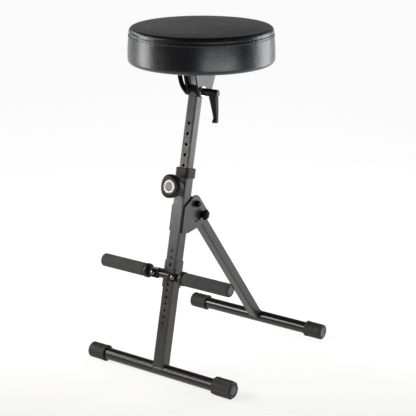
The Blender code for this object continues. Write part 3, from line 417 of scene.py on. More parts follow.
inlayLook = {
    "rim": (0.46, 0.46, 0.455),
    "rimFade": 0.9,
    "middle": (0.085, 0.085, 0.088),
    "middleFade": 0.85,
    "ring": (0.05, 0.05, 0.05),
    "rings": (0.0108, 0.0143),
    "ringHalf": 0.0004,
    "step": 0.0108,
    "fine": 5200,
    "ripple": 0.2,
    "speck": 700,
    "edge": 0.0004,
    "relief": (0.25, 0.0002),
    "roughness": (0.26, 0.40),
}


def lightInlay(look, centre):
    # a plain disc: turned grey middle, pale rim, a groove at each edge of the rim
    finish, shader = startFinish("lightInlay", {"Metallic": 0.35})
    where = place(finish)
    apart = vectors(finish, "SUBTRACT", where, centre)["Vector"]
    reach = vectors(finish, "LENGTH", apart)["Value"]
    turned = sums(finish, product(finish, reach, look["fine"]), 0.0, "SINE")
    lines = None
    for ring in look["rings"]:
        inputs = {0: reach, 1: ring, 2: look["ringHalf"]}
        line = addNode(finish, "ShaderNodeMath", inputs, operation="COMPARE").outputs["Value"]
        lines = line if lines is None else sums(finish, lines, line, "MAXIMUM")
    speck = cloud(finish, where, look["speck"], 3.0)
    middle = tint(finish, speck, faded(look["middle"], look["middleFade"]), look["middle"])
    rim = tint(finish, speck, faded(look["rim"], look["rimFade"]), look["rim"])
    face = mixTint(finish, sums(finish, reach, look["step"], "GREATER_THAN"), middle, rim)
    base = mixTint(finish, lines, face, look["ring"])
    rough = spread(finish, turned, -1, 1, *look["roughness"])
    height = sums(finish, product(finish, turned, look["ripple"]), lines, "SUBTRACT")
    normal = relief(finish, height, *look["relief"], softEdge(finish, look["edge"]))
    feed(finish, shader, Base_Color=base, Roughness=rough, Normal=normal)
    return finish


gripFoamLook = {
    "dark": (0.024, 0.024, 0.0248),
    "light": (0.066, 0.066, 0.068),
    "tones": (0.15, 0.62),
    "pore": 950,
    "fine": 2300,
    "fineShare": 0.6,
    "patch": 35,
    "relief": (0.42, 0.0006),
    "roughness": (0.72, 0.9),
}


def gripFoam(look):
    finish, shader = startFinish("gripFoam", {"Specular IOR Level": 0.35, "Sheen Weight": 0.12})
    where = place(finish)
    pore = cells(finish, where, look["pore"])
    fine = cloud(finish, where, look["fine"], 2.0)
    patch = cloud(finish, where, look["patch"], 4.0)
    height = sums(finish, pore, product(finish, fine, look["fineShare"]))
    base = tint(finish, product(finish, height, patch), look["dark"], look["light"], *look["tones"])
    rough = vary(finish, patch, *look["roughness"])
    normal = relief(finish, height, *look["relief"])
    feed(finish, shader, Base_Color=base, Roughness=rough, Normal=normal)
    return finish


seatLeatherLook = {
    "dark": (0.0040, 0.0042, 0.0050),
    "light": (0.0105, 0.0110, 0.0127),
    "tones": (0.05, 0.4),
    "grain": 720,
    "grainEdge": 0.16,
    "grainRelief": (0.16, 0.0002),
    "wobble": 300.0,
    "wobblePush": 0.0012,
    "crease": 34,
    "creaseRelief": (0.12, 0.003),
    "drag": 210,
    "dragStretch": (0.55, 0.55, 2.6),
    "dragRelief": (0.26, 0.0007),
    "patch": 11,
    "roughSpan": (0.1, 0.45, 0.30, 0.17),
    "topStart": (-0.003, 0.001),   # from the shoulder: the side's look ends, the top's begins
    "topRough": 0.27,
    "gloss": (0.66, 0.46),         # side, top
    # painted sheen on the top panel: its colour, and the patches it lies in
    "paintedTopSheen": (0.270, 0.264, 0.267),
    "paintedTopSheenSpan": (0.1, 0.4, 0.5, 1.0),
}


def seatLeather(look, shoulder):
    finish, shader = startFinish("seatLeather", {"Specular Tint": (0.95, 0.97, 1.0, 1.0)})
    where = place(finish)
    inputs = {"Vector": where, "Scale": look["wobble"], "Detail": 2.0}
    wobble = addNode(finish, "ShaderNodeTexNoise", inputs).outputs["Color"]
    inputs = {0: wobble, "Scale": look["wobblePush"]}
    push = addNode(finish, "ShaderNodeVectorMath", inputs, operation="SCALE").outputs["Vector"]
    bent = vectors(finish, "ADD", where, push)["Vector"]
    pebble = cells(finish, bent, look["grain"], "DISTANCE_TO_EDGE")
    pebble = spread(finish, pebble, 0.0, look["grainEdge"], 0.0, 1.0)
    crease = cloud(finish, where, look["crease"], 7.0, 0.62)
    patch = cloud(finish, where, look["patch"], 4.0)
    drag = cloud(finish, stretch(finish, where, look["dragStretch"]), look["drag"], 4.0)
    worn = product(finish, product(finish, pebble, patch), drag)
    base = tint(finish, worn, look["dark"], look["light"], *look["tones"])
    # the top panel is duller than the side, and painted paler in patches: a painted sheen where the
    # top faces the light
    low, high = look["topStart"]
    top = spread(finish, axis(finish, where, "Z"), shoulder + low, shoulder + high, 0.0, 1.0)
    paintedTopSheen = spread(finish, product(finish, patch, drag), *look["paintedTopSheenSpan"])
    base = mixTint(finish, product(finish, top, paintedTopSheen), base, look["paintedTopSheen"])
    rough = spread(finish, product(finish, crease, drag), *look["roughSpan"])
    rough = sums(finish, rough, product(finish, top, look["topRough"]))
    gloss = spread(finish, top, 0.0, 1.0, *look["gloss"])
    normal = relief(finish, crease, *look["creaseRelief"])
    normal = relief(finish, drag, *look["dragRelief"], normal)
    normal = relief(finish, pebble, *look["grainRelief"], normal)
    feed(finish, shader, Base_Color=base, Roughness=rough, Normal=normal, Specular_IOR_Level=gloss)
    return finish


seatThreadLook = {
    "dark": (0.045, 0.045, 0.047),
    "light": (0.135, 0.135, 0.14),
    "twist": 1100,
    "slant": (0.6, 0.7, 0.0),
    "relief": (0.4, 0.0002),
    "roughness": (0.5, 0.65),
}


def seatThread(look):
    finish, shader = startFinish("seatThread", {"Sheen Weight": 0.3})
    slant = stretch(finish, place(finish), turn=look["slant"])
    inputs = {"Vector": slant, "Scale": look["twist"]}
    strand = addNode(finish, "ShaderNodeTexWave", inputs).outputs["Fac"]
    base = tint(finish, strand, look["dark"], look["light"])
    rough = spread(finish, strand, 0, 1, *look["roughness"])
    normal = relief(finish, strand, *look["relief"])
    feed(finish, shader, Base_Color=base, Roughness=rough, Normal=normal)
    return finish


seatPlyLook = {
    "dark": (0.34, 0.24, 0.14),
    "light": (0.56, 0.43, 0.28),
    "fibre": 160,
    "fibreStretch": (0.12, 1.6, 1.0),
    "layers": 240.0,
    "layerShade": (0.0, 0.3),
    "relief": (0.25, 0.0005),
    "roughness": (0.55, 0.75),
}


def seatPly(look):
    finish, shader = startFinish("seatPly", {"Specular IOR Level": 0.3})
    where = place(finish)
    fibre = cloud(finish, stretch(finish, where, look["fibreStretch"]), look["fibre"], 7.0, 0.65)
    inputs = {"Vector": where, "Scale": look["layers"]}
    layer = addNode(finish, "ShaderNodeTexWave", inputs, bands_direction="Z").outputs["Fac"]
    shade = spread(finish, layer, 0, 1, *look["layerShade"])
    base = tint(finish, fibre, look["dark"], look["light"])
    base = mixTint(finish, shade, base, look["dark"])
    rough = vary(finish, fibre, *look["roughness"])
    normal = relief(finish, fibre, *look["relief"])
    feed(finish, shader, Base_Color=base, Roughness=rough, Normal=normal)
    return finish


shoulderDrop = 0.0041   # from the top of the CAD cushion to the cover's shoulder
cushionLow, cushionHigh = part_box("seat_cushion")
seatMiddleX = (cushionLow.x + cushionHigh.x) / 2
seatMiddleY = (cushionLow.y + cushionHigh.y) / 2
seatCentre = Vector((seatMiddleX, seatMiddleY, cushionLow.z))
seatRadius = (cushionHigh.x - cushionLow.x) / 2
shoulderHeight = cushionHigh.z - cushionLow.z - shoulderDrop
discLow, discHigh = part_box("height_knob_disc")

finishes = {
    "powder_coat": powderCoat(powderCoatLook),
    "gloss_paint": glossPaint(glossPaintLook),
    "blackened_steel": blackenedSteel(blackenedSteelLook),
    "zinc_steel": zincSteel(zincSteelLook),
    "cap_rubber": capRubber(capRubberLook),
    "black_plastic": blackPlastic(blackPlasticLook),
    "grey_plastic": greyPlastic(greyPlasticLook),
    "light_inlay": lightInlay(inlayLook, tuple((discLow + discHigh) / 2)),
    "grip_foam": gripFoam(gripFoamLook),
    "cushion_cover": seatLeather(seatLeatherLook, seatCentre.z + shoulderHeight),
    "seat_plywood": seatPly(seatPlyLook),
}
threadFinish = seatThread(seatThreadLook)
# the plates' coat, with painted shade on their edges
sheetFinish = powderCoat(powderCoatLook, "sheetCoat", cutEdges=True)
starFinish = blackPlastic(starPlasticLook, "starPlastic")
leverFinish = blackPlastic(leverPlasticLook, "leverPlastic")
collarFinish = blackPlastic(collarPlasticLook, "collarPlastic")
ribHighlightFinish = capRubber(ribHighlightRubberLook, "ribRubberPaintedHighlight")
nickelFinish = zincSteel(nickelLook, "darkNickel")

# nodes that don't take their slot's finish
ownFinishes = {
    "hinge_plate_left": sheetFinish,
    "hinge_plate_right": sheetFinish,
    "seat_cheek_left": sheetFinish,
    "seat_cheek_right": sheetFinish,
    "leg_lock_knob": starFinish,
    "leg_pivot_bolt": starFinish,
    "tilt_stay": starFinish,
    "post_top_plug": starFinish,
    "friction_washer_left": starFinish,
    "friction_washer_right": starFinish,
    "tilt_lever": leverFinish,
    "column_collar": collarFinish,
    "height_knob": collarFinish,
}
for row in frame["record"]["subparts"]:
    mesh = nodes[row["node"]].data
    mesh.materials.clear()
    mesh.materials.append(ownFinishes.get(row["node"], finishes[row["material_slot"]]))


# helpers for building pieces

def addPiece(name, bm, finish, body):
    bmesh.ops.recalc_face_normals(bm, faces=bm.faces)
    mesh = bpy.data.meshes.new(name)
    bm.to_mesh(mesh)
    bm.free()
    mesh.materials.append(finish)
    mesh.shade_smooth()
    piece = bpy.data.objects.new(name, mesh)
    scene.collection.objects.link(piece)
    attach(piece, body)
    return piece


def joinRows(bm, near, far):
    for k in range(len(near)):
        bm.faces.new((near[k - 1], near[k], far[k], far[k - 1]))


def joinRings(bm, rings):
    # rings of points, each closed round, joined one to the next
    rows = []
    for ring in rings:
        rows.append([bm.verts.new(point) for point in ring])
    for near, far in zip(rows, rows[1:]):
        joinRows(bm, near, far)
    return rows


def closeRings(bm, rings, loop=False):
    # the two ends are filled unless the rings loop
    rows = joinRings(bm, rings)
    if loop:
        joinRows(bm, rows[-1], rows[0])
    else:
        bm.faces.new(rows[0])
        bm.faces.new(rows[-1][::-1])
    return bm


def turns(count):
    return [2 * math.pi * k / count for k in range(count)]


def circle(centre, radius, across, rise, sides):
    ring = []
    for angle in turns(sides):
        ring.append(centre + radius * (math.cos(angle) * across + math.sin(angle) * rise))
    return ring


def sweepRings(points, radii, sides, up=Vector((0, 0, 1))):
    rings = []
    for k, point in enumerate(points):
        ahead = (points[min(k + 1, len(points) - 1)] - points[max(k - 1, 0)]).normalized()
        across = ahead.cross(up).normalized()
        rings.append(circle(point, radii[k], across, across.cross(ahead), sides))
    return rings


# seat cover: a padded round of imitation leather, sewn from a top panel and a side band

seatCoverMake = {
    "segments": 360,
    "crown": 0.0066,
    "topSteps": 26,
    "shoulderStart": 0.1570,
    "seamRadius": 0.1690,
    "seamDrop": 0.0152,
    "panelRoll": 0.0030,
    "rollSteps": 8,
    "rollOut": 0.0002,
    "lipOut": 0.0004,
    "lipRise": 0.6,
    # the panel's end, the groove and the band's turned edge: out from the seam, up from it
    "groove": (
        (0.0003, 0.0012), (-0.0015, 0.0003), (-0.0015, -0.0003), (0.0001, -0.0011), (0.0005, -0.0022),
    ),
    "bandBulge": 0.0010,
    "bandSteps": 18,
    "footRound": 0.0110,
    "footSteps": 6,
    "underEdge": 0.1584,
    "pocketTop": 0.0145,
    "stillRings": 3,
    "fillStart": 0.0018,
    "fillSide": 0.4,
    "fillCap": 0.0030,
    "fillSegments": 96,
    "stiffEdge": 0.0150,
    "voxel": 0.0055,
    "frames": 20,
    "cloth": {
        "quality": 6,
        "mass": 0.3,
        "tension_stiffness": 25,
        "compression_stiffness": 25,
        "bending_stiffness": 4,
        "use_pressure": True,
        "uniform_pressure_force": 4.0,
    },
    "nearest": 6,
    "nearestSoft": 0.001,
    "pucker": 0.00055,
    "puckerPitch": 26,
    "puckerSlice": 3.1,
    "puckerFade": 0.009,
    "wrinkle": 0.00035,
    "wrinklePitch": 34,
    "wrinkleSide": 0.7,
}


def coverProfile(make, sunk):
    # half section from the middle of the top to the middle of the pocket
    # sunk is how far the fill is let down
    seam = make["seamRadius"]
    seamHeight = shoulderHeight - make["seamDrop"]
    start = make["shoulderStart"]
    points = []
    for k in range(1, make["topSteps"] + 1):
        share = k / make["topSteps"]
        points.append((start * share, shoulderHeight + make["crown"] * (1 - share ** 2) - sunk))
    roll = make["panelRoll"]
    for k in range(1, make["rollSteps"] + 1):
        share = k / make["rollSteps"]
        angle = share * math.pi / 2
        radius = start + (seam + make["rollOut"] - start) * math.sin(angle)
        height = seamHeight + roll + (make["seamDrop"] - roll) * math.cos(angle)
        points.append((radius, height - sunk * (1 - share)))
    points.append((seam + make["lipOut"], seamHeight + roll * make["lipRise"]))
    points += [(seam + out, seamHeight + up) for out, up in make["groove"]]
    bandOut, bandUp = make["groove"][-1]
    bandTop = seamHeight + bandUp
    foot = make["footRound"]
    for k in range(1, make["bandSteps"] + 1):
        share = k / make["bandSteps"]
        lean = (seatRadius - seam - bandOut) * math.sin(share * math.pi / 2)
        bulge = (make["bandBulge"] - sunk * make["fillSide"]) * math.sin(share * math.pi)
        points.append((seam + bandOut + lean + bulge, bandTop + (foot - bandTop) * share))
    for k in range(1, make["footSteps"] + 1):
        angle = k / make["footSteps"] * math.pi / 2
        points.append((seatRadius - foot + foot * math.cos(angle), foot - foot * math.sin(angle)))
    points += [(make["underEdge"], 0.0), (make["underEdge"], make["pocketTop"])]
    return points


def coverRings(profile, segments):
    rings = []
    for radius, height in profile:
        ring = []
        for angle in turns(segments):
            spot = Vector((radius * math.sin(angle), -radius * math.cos(angle), height))
            ring.append(spot + seatCentre)
        rings.append(ring)
    return rings


def coverMesh(rings):
    # rings from the top's middle down; both ends are fans
    bm = bmesh.new()
    rows = joinRings(bm, rings)
    for row in (rows[0], rows[-1]):
        middle = bm.verts.new(sum((v.co for v in row), Vector()) / len(row))
        for k in range(len(row)):
            bm.faces.new((middle, row[k - 1], row[k]))
    return bm


def evaluated(piece):
    return piece.evaluated_get(bpy.context.evaluated_depsgraph_get())


def fillSolid(make):
    # an evenly meshed body of the fill, let down a little; every third row of the section is enough
    profile = coverProfile(make, make["fillStart"])
    bm = coverMesh(coverRings(profile[2::3] + profile[-2:], make["fillSegments"]))
    bmesh.ops.recalc_face_normals(bm, faces=bm.faces)
    mesh = bpy.data.meshes.new("seatFill")
    bm.to_mesh(mesh)
    bm.free()
    fill = bpy.data.objects.new("seatFill", mesh)
    scene.collection.objects.link(fill)
    remesh = fill.modifiers.new("remesh", "REMESH")
    remesh.mode = "VOXEL"
    remesh.voxel_size = make["voxel"]
    bpy.context.view_layer.update()
    solid = bpy.data.meshes.new_from_object(evaluated(fill))
    fill.modifiers.clear()
    fill.data = solid
    return fill


def swellFill(make):
    # cloth with air pressure inside, held at the seam and underneath
    # gives the rest points and how far each one moved
    fill = fillSolid(make)
    rest = np.array([v.co for v in fill.data.vertices])
    reach = np.hypot(rest[:, 0] - seatCentre.x, rest[:, 1] - seatCentre.y)
    height = rest[:, 2] - seatCentre.z
    seamGap = np.hypot(reach - make["seamRadius"], height - shoulderHeight + make["seamDrop"])
    held = (height < make["footRound"]) | (seamGap < make["stiffEdge"])
    group = fill.vertex_groups.new(name="held")
    group.add([int(k) for k in np.nonzero(held)[0]], 1.0, "REPLACE")
    cloth = fill.modifiers.new("cloth", "CLOTH")
    cloth.settings.vertex_group_mass = "held"
    for key, value in make["cloth"].items():
        setattr(cloth.settings, key, value)
    cloth.settings.effector_weights.gravity = 0.0
    cloth.point_cache.frame_start = 1
    cloth.point_cache.frame_end = make["frames"]
    for step in range(1, make["frames"] + 1):
        scene.frame_set(step)
    done = evaluated(fill).to_mesh()
    moved = np.array([v.co for v in done.vertices]) - rest
    evaluated(fill).to_mesh_clear()
    scene.frame_set(1)
    bpy.data.objects.remove(fill)
    far = np.linalg.norm(moved, axis=1, keepdims=True)
    moved *= make["fillCap"] / (make["fillCap"] + far)
    most = 1000 * float(np.linalg.norm(moved, axis=1).max())
    print("seat fill swollen:", len(rest), "points, up to", round(most, 2), "mm")
    return rest, moved


def pushOut(make, rings):
    # carries the swelling over to the cover, all but its lowest rings
    rest, moved = swellFill(make)
    tree = kdtree.KDTree(len(rest))
    for k, point in enumerate(rest):
        tree.insert(point, k)
    tree.balance()
    for ring in rings[:-make["stillRings"]]:
        for j, point in enumerate(ring):
            near = tree.find_n(point, make["nearest"])
            weights = [1 / (gap + make["nearestSoft"]) for _, _, gap in near]
            total = sum(weights)
            push = Vector()
            for (_, k, _), weight in zip(near, weights):
                push += Vector(moved[k]) * (weight / total)
            ring[j] = point + push


def gatherHide(make, profile, rings):
    # gathers that fade away from the seam, and slack in the hide
    seamHeight = shoulderHeight - make["seamDrop"]
    pitch = make["puckerPitch"]
    for (radius, height), ring in zip(profile, rings):
        fade = math.exp(-abs(height - seamHeight) / make["puckerFade"])
        for j, angle in enumerate(turns(make["segments"])):
            point = ring[j]
            out = Vector((math.sin(angle), -math.cos(angle), 0))
            spot = Vector((pitch * math.cos(angle), pitch * math.sin(angle), make["puckerSlice"]))
            gather = noise.noise(spot) * make["pucker"] * fade
            slack = noise.noise(Vector(point) * make["wrinklePitch"]) * make["wrinkle"]
            if radius < make["shoulderStart"]:
                ring[j] = point + Vector((0, 0, slack))
            elif height > make["footRound"]:
                ring[j] = point + out * (gather + make["wrinkleSide"] * slack)


def buildSeatCover(make):
    sunk = make["fillStart"]
    profile = coverProfile(make, sunk)
    rings = coverRings(profile, make["segments"])
    pushOut(make, rings)
    gatherHide(make, profile, rings)
    leather = finishes["cushion_cover"]
    cover = addPiece("seatCover", coverMesh(rings), leather, "seat")
    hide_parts("seat_cushion")
    return rings


seatRings = buildSeatCover(seatCoverMake)
print("seat cover built")

seamStitchMake = {
    "count": 174,
    "below": 0.0058,
    "length": 0.0044,
    "thread": 0.0008,
    "arch": (1.05, 0.75),    # rise of the middle and sink of the ends, in threads
    "swell": (0.55, 0.45),   # thickness of the ends, and what the middle has more, in threads
    "sides": 8,
    "steps": 6,
}


def onCover(angle, height):
    # a point of the cover's side at a height, and the way out of it there
    make = seatCoverMake
    j = int(round(angle / (2 * math.pi) * make["segments"])) % make["segments"]
    firstSide = make["topSteps"] + make["rollSteps"]
    column = [ring[j] for ring in seatRings[firstSide:-make["stillRings"]]]
    level = seatCentre.z + height
    for upper, lower in zip(column, column[1:]):
        if lower.z <= level <= upper.z and upper.z > lower.z:
            share = (upper.z - level) / (upper.z - lower.z)
            spot = upper.lerp(lower, share)
            radius = math.hypot(spot.x - seatCentre.x, spot.y - seatCentre.y)
            break
    out = Vector((math.sin(angle), -math.cos(angle), 0))
    return Vector((seatCentre.x, seatCentre.y, level)) + out * radius, out


def buildSeamStitches(make):
    bm = bmesh.new()
    height = shoulderHeight - seatCoverMake["seamDrop"] - make["below"]
    half = make["length"] / 2 / seatRadius
    rise, sink = make["arch"]
    least, more = make["swell"]
    for number in range(make["count"]):
        middle = 2 * math.pi * (number + 0.5) / make["count"]
        points, radii = [], []
        for k in range(make["steps"] + 1):
            share = k / make["steps"] * 2 - 1
            spot, out = onCover(middle + half * share, height)
            arch = 1 - share ** 4
            points.append(spot + out * make["thread"] * (rise * arch - sink))
            radii.append(make["thread"] * (least + more * arch))
        closeRings(bm, sweepRings(points, radii, make["sides"]))
    addPiece("seamStitches", bm, threadFinish, "seat")


buildSeamStitches(seamStitchMake)
print("seam stitched:", seamStitchMake["count"], "stitches")


# footrest grips: foam sleeves with a moulded collar at the inner end

gripMake = {
    "sides": 64,
    "collar": 0.0105,
    "collarProud": 0.0012,
    "collarLip": 0.0012,
    "collarGap": 0.0003,
    "bore": 0.0104,
    "round": 0.0036,
    "roundSteps": 6,
    "innerRound": (0.5, 0.35),
    "innerSoft": 0.0002,
    "steps": 22,
    "swell": 0.00018,
    "swellPitch": (90, 2.2),   # along the sleeve, round it
}


def ringAlong(centre, radius, along, sides, wave=0.0):
    pitch, pitchRound = gripMake["swellPitch"]
    ring = []
    for angle in turns(sides):
        spot = Vector((along, math.cos(angle), math.sin(angle)))
        ripple = noise.noise(Vector((along * pitch, pitchRound * spot.y, pitchRound * spot.z)))
        reach = radius + wave * ripple
        ring.append(Vector((along, centre.y + reach * spot.y, centre.z + reach * spot.z)))
    return ring


def buildGrip(make, side, name):
    low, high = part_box(f"footrest_grip_{name}")
    body = f"footrest_arm_{name}"
    bore = make["bore"]
    centre = (low + high) / 2
    radius = (high.z - low.z) / 2
    inner, outer = sorted((abs(low.x), abs(high.x)))
    start = inner + make["collar"]
    edge = make["round"]
    inwards, onwards = make["innerRound"]
    loop = [(bore, start), (radius - edge * inwards, start)]
    loop += [(radius - make["innerSoft"], start + edge * onwards), (radius, start + edge)]
    span = outer - edge - start - edge
    loop += [(radius, start + edge + span * k / make["steps"]) for k in range(1, make["steps"])]
    for k in range(make["roundSteps"] + 1):
        angle = k / make["roundSteps"] * math.pi / 2
        loop.append((radius - edge + edge * math.cos(angle), outer - edge + edge * math.sin(angle)))
    loop.append((bore, outer))
    rings = []
    for reach, along in loop:
        wave = make["swell"] if reach > bore else 0.0
        rings.append(ringAlong(centre, reach, side * along, make["sides"], wave))
    foam = closeRings(bmesh.new(), rings, loop=True)
    grip = addPiece(f"gripFoam{name.title()}", foam, finishes["grip_foam"], body)
    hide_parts(f"footrest_grip_{name}")

    proud = radius + make["collarProud"]
    lip = make["collarLip"]
    end = start - make["collarGap"]
    loop = [(bore, inner), (proud - lip, inner), (proud, inner + lip)]
    loop += [(proud, end - lip), (proud - lip, end), (bore, end)]
    rings = [ringAlong(centre, reach, side * along, make["sides"]) for reach, along in loop]
    collar = closeRings(bmesh.new(), rings, loop=True)
    plastic = finishes["black_plastic"]
    addPiece(f"gripCollar{name.title()}", collar, plastic, body)


buildGrip(gripMake, -1, "left")
buildGrip(gripMake, 1, "right")
print("grips built")


# footrest bolts: polished domed heads on a plain washer

domeBoltMake = {
    "axes": ((-0.0295, -0.18483, 0.2545), (0.0295, -0.18483, 0.2545)),
    "out": (0.0, -0.9748, 0.2232),
    "face": 0.0114,
    "washer": (0.0092, 0.0011),
    "washerEdge": 0.0003,
    "dome": (0.0064, 0.0046),
    "domeSteps": 10,
    "shank": (0.0039, -0.0193),
    "tip": 0.0008,
    "gap": 0.0001,
    "sides": 40,
}


def spin(profile, centre, axle, sides):
    # rings of a turned shape; profile rows are (radius, distance along the axle)
    axle = Vector(axle).normalized()
    across = axle.orthogonal().normalized()
    rise = axle.cross(across)
    rings = []
    for radius, along in profile:
        rings.append(circle(Vector(centre) + along * axle, radius, across, rise, sides))
    return rings


def buildDomeBolts(make):
    face = make["face"]
    rim, thick = make["washer"]
    dome, height = make["dome"]
    shank, tip = make["shank"]
    edge = make["washerEdge"]
    seat = face + thick + make["gap"]
    profile = [(shank - make["tip"], tip), (shank, tip + make["tip"]), (shank, seat), (dome, seat)]
    for k in range(1, make["domeSteps"]):
        angle = k / make["domeSteps"] * math.pi / 2
        profile.append((dome * math.cos(angle), seat + height * math.sin(angle)))
    bore = shank + make["gap"]
    flat = [(bore, face), (rim - edge, face), (rim, face + edge), (rim, face + thick - edge)]
    flat += [(rim - edge, face + thick), (bore, face + thick)]
    for name, centre in zip(("left", "right"), make["axes"]):
        rings = spin(profile, centre, make["out"], make["sides"])
        bolt = closeRings(bmesh.new(), rings)
        bolt = addPiece(f"domeBolt{name.title()}", bolt, nickelFinish, "footrest")
        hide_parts(f"footrest_bolt_{name}")
        rings = spin(flat, centre, make["out"], make["sides"])
        washer = closeRings(bmesh.new(), rings, loop=True)
        addPiece(f"domeWasher{name.title()}", washer, starFinish, "footrest")


buildDomeBolts(domeBoltMake)
print("footrest bolts built")


# welds where the column and the leg stand on their bars

weldMake = {
    "bar": 0.015,
    "bead": 0.0015,
    "beadRise": 0.3,
    "ripple": 0.00035,
    "pitch": 0.0028,
    "corner": 0.003,
    "cornerSteps": 4,
    "step": 0.0007,
    "sides": 10,
    "columnHalf": 0.015,
    "columnLean": 12.9,
    "legHinge": (-0.08775, 0.40872),   # Y and Z
    "legBar": (0.21091, 0.02),
}


def tubeOutline(half, corner, steps):
    flat = half - corner
    points = []
    for quarter, (x, y) in enumerate(((1, 1), (-1, 1), (-1, -1), (1, -1))):
        for k in range(steps + 1):
            angle = (quarter + k / steps) * math.pi / 2
            points.append((x * flat + corner * math.cos(angle), y * flat + corner * math.sin(angle)))
    return points


def weldPath(make, half):
    # points round the tube, at even steps
    outline = tubeOutline(half, make["corner"], make["cornerSteps"])
    path = []
    for (u0, v0), (u1, v1) in zip(outline, outline[1:] + outline[:1]):
        steps = max(1, round(math.hypot(u1 - u0, v1 - v0) / make["step"]))
        path += [(u0 + (u1 - u0) * k / steps, v0 + (v1 - v0) * k / steps) for k in range(steps)]
    return path


def buildWeld(make, name, foot, lean, half, body):
    along = Vector((0, math.sin(lean), math.cos(lean)))
    across = Vector((0, math.cos(lean), -math.sin(lean)))
    side = Vector((1, 0, 0))
    middle = Vector(foot)
    points = []
    for u, v in weldPath(make, half):
        rise = math.sqrt(max(make["bar"] ** 2 - v ** 2, 0.0)) + make["beadRise"] * make["bead"]
        points.append(middle + u * side + v * across + rise * along)
    rings = []
    run = 0.0
    for k, point in enumerate(points):
        ahead = points[(k + 1) % len(points)] - points[k - 1]
        run += ahead.length / 2
        ahead.normalize()
        out = (point - middle - along * (point - middle).dot(along)).normalized()
        up = ahead.cross(out).normalized()
        radius = make["bead"] + make["ripple"] * math.sin(2 * math.pi * run / make["pitch"])
        rings.append(circle(point, radius, out, up, make["sides"]))
    bead = closeRings(bmesh.new(), rings, loop=True)
    addPiece(name, bead, finishes["powder_coat"], body)


def barMiddle(node):
    low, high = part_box(node)
    return (0.0, (low.y + high.y) / 2, (low.z + high.z) / 2)


def buildWelds(make):
    lean = math.radians(make["columnLean"])
    buildWeld(make, "columnWeld", barMiddle("front_foot_bar"), lean, make["columnHalf"], "base")
    (hingeY, hingeZ), (barY, barZ) = make["legHinge"], make["legBar"]
    lean = -math.atan2(barY - hingeY, hingeZ - barZ)
    low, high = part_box("rear_leg")
    buildWeld(make, "legWeld", barMiddle("rear_foot_bar"), lean, (high.x - low.x) / 2, "rear_leg")


buildWelds(weldMake)
print("welds built")


# levelling cap: a rib on each corner and a rolled lip round its face, in a paler copy of the cap
# rubber: painted highlight along the corners and the lip

capRibMake = {
    "sides": 10,
    "rib": 0.0011,
    "proud": 0.0003,
    "lip": 0.0015,
    "lipAhead": 0.6,
    "mouth": 0.0030,
    "face": 0.0062,
    "round": 10,
    "taper": ((0.0, 0.35), (0.015, 0.8), (0.05, 1.0), (0.95, 1.0), (0.985, 0.8), (1.0, 0.35)),
}


def buildCapRibs(make):
    low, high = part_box("levelling_cap")
    centre = (low + high) / 2
    corner = (high.y - low.y) / 2
    outs = [Vector((0, math.cos(angle), math.sin(angle))) for angle in turns(make["sides"])]
    bm = bmesh.new()
    for out in outs:
        spot = centre + out * (corner + make["proud"] - make["rib"])
        start = Vector((low.x + make["mouth"], spot.y, spot.z))
        end = Vector((high.x - make["face"], spot.y, spot.z))
        points = [start.lerp(end, share) for share, _ in make["taper"]]
        radii = [make["rib"] * share for _, share in make["taper"]]
        closeRings(bm, sweepRings(points, radii, make["round"]))
    along = Vector((1, 0, 0))
    face = high.x - make["face"] + make["lipAhead"] * make["lip"]
    rings = []
    for out in outs:
        reach = centre + out * (corner - make["lip"] + make["proud"])
        spot = Vector((face, reach.y, reach.z))
        rings.append(circle(spot, make["lip"], out, along, make["round"]))
    closeRings(bm, rings, loop=True)
    addPiece("levelCapRibs", bm, ribHighlightFinish, "levelling_cap")


buildCapRibs(capRibMake)
print("levelling cap ribbed")


# end caps: a plain moulded disc on each closed end

capDiscMake = {
    "reach": 0.0128,
    "rise": 0.0007,
    "sunk": 0.0005,
    "straight": 0.6,
    "bevel": 0.0004,
    "rim": 0.0016,
    "dish": 0.0003,
    "hub": 0.3,
    "sides": 48,
}


def buildCapDisc(make, node, side, body):
    low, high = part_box(node)
    centre = (low + high) / 2
    end = high.x if side > 0 else -low.x
    reach, rise, bevel = make["reach"], make["rise"], make["bevel"]
    rim = reach - make["rim"]
    top = end + rise
    dish = end + make["dish"]
    profile = [(reach, end - make["sunk"]), (reach, end + make["straight"] * rise)]
    profile += [(reach - bevel, top), (rim, top), (rim - bevel, dish), (make["hub"] * reach, dish)]
    rings = [ringAlong(centre, radius, side * along, make["sides"]) for radius, along in profile]
    disc = closeRings(bmesh.new(), rings)
    addPiece(f"capDisc.{node}", disc, finishes["grey_plastic"], body)


buildCapDisc(capDiscMake, "front_end_cap_left", -1, "base")
buildCapDisc(capDiscMake, "rear_end_cap_left", -1, "rear_leg")
buildCapDisc(capDiscMake, "rear_end_cap_right", 1, "rear_leg")
print("cap discs built")


# a thin black sheet on the inside of the left cheek: painted shade where the cheek's inner face lies
# in shadow

cheekShadeSheetMake = {
    "thick": 0.0006,
    "edge": 0.0002,
    "gap": 0.0001,
    "middle": (-0.014, 0.034),
    # Y and Z from the tilt bolt
    "outline": (
        (-0.0294, 0.0585), (-0.0172, 0.0140), (0.0004, 0.0140), (-0.0012, 0.0180),
        (-0.0030, 0.0240), (-0.0046, 0.0300), (-0.0060, 0.0380), (-0.0070, 0.0585),
    ),
}


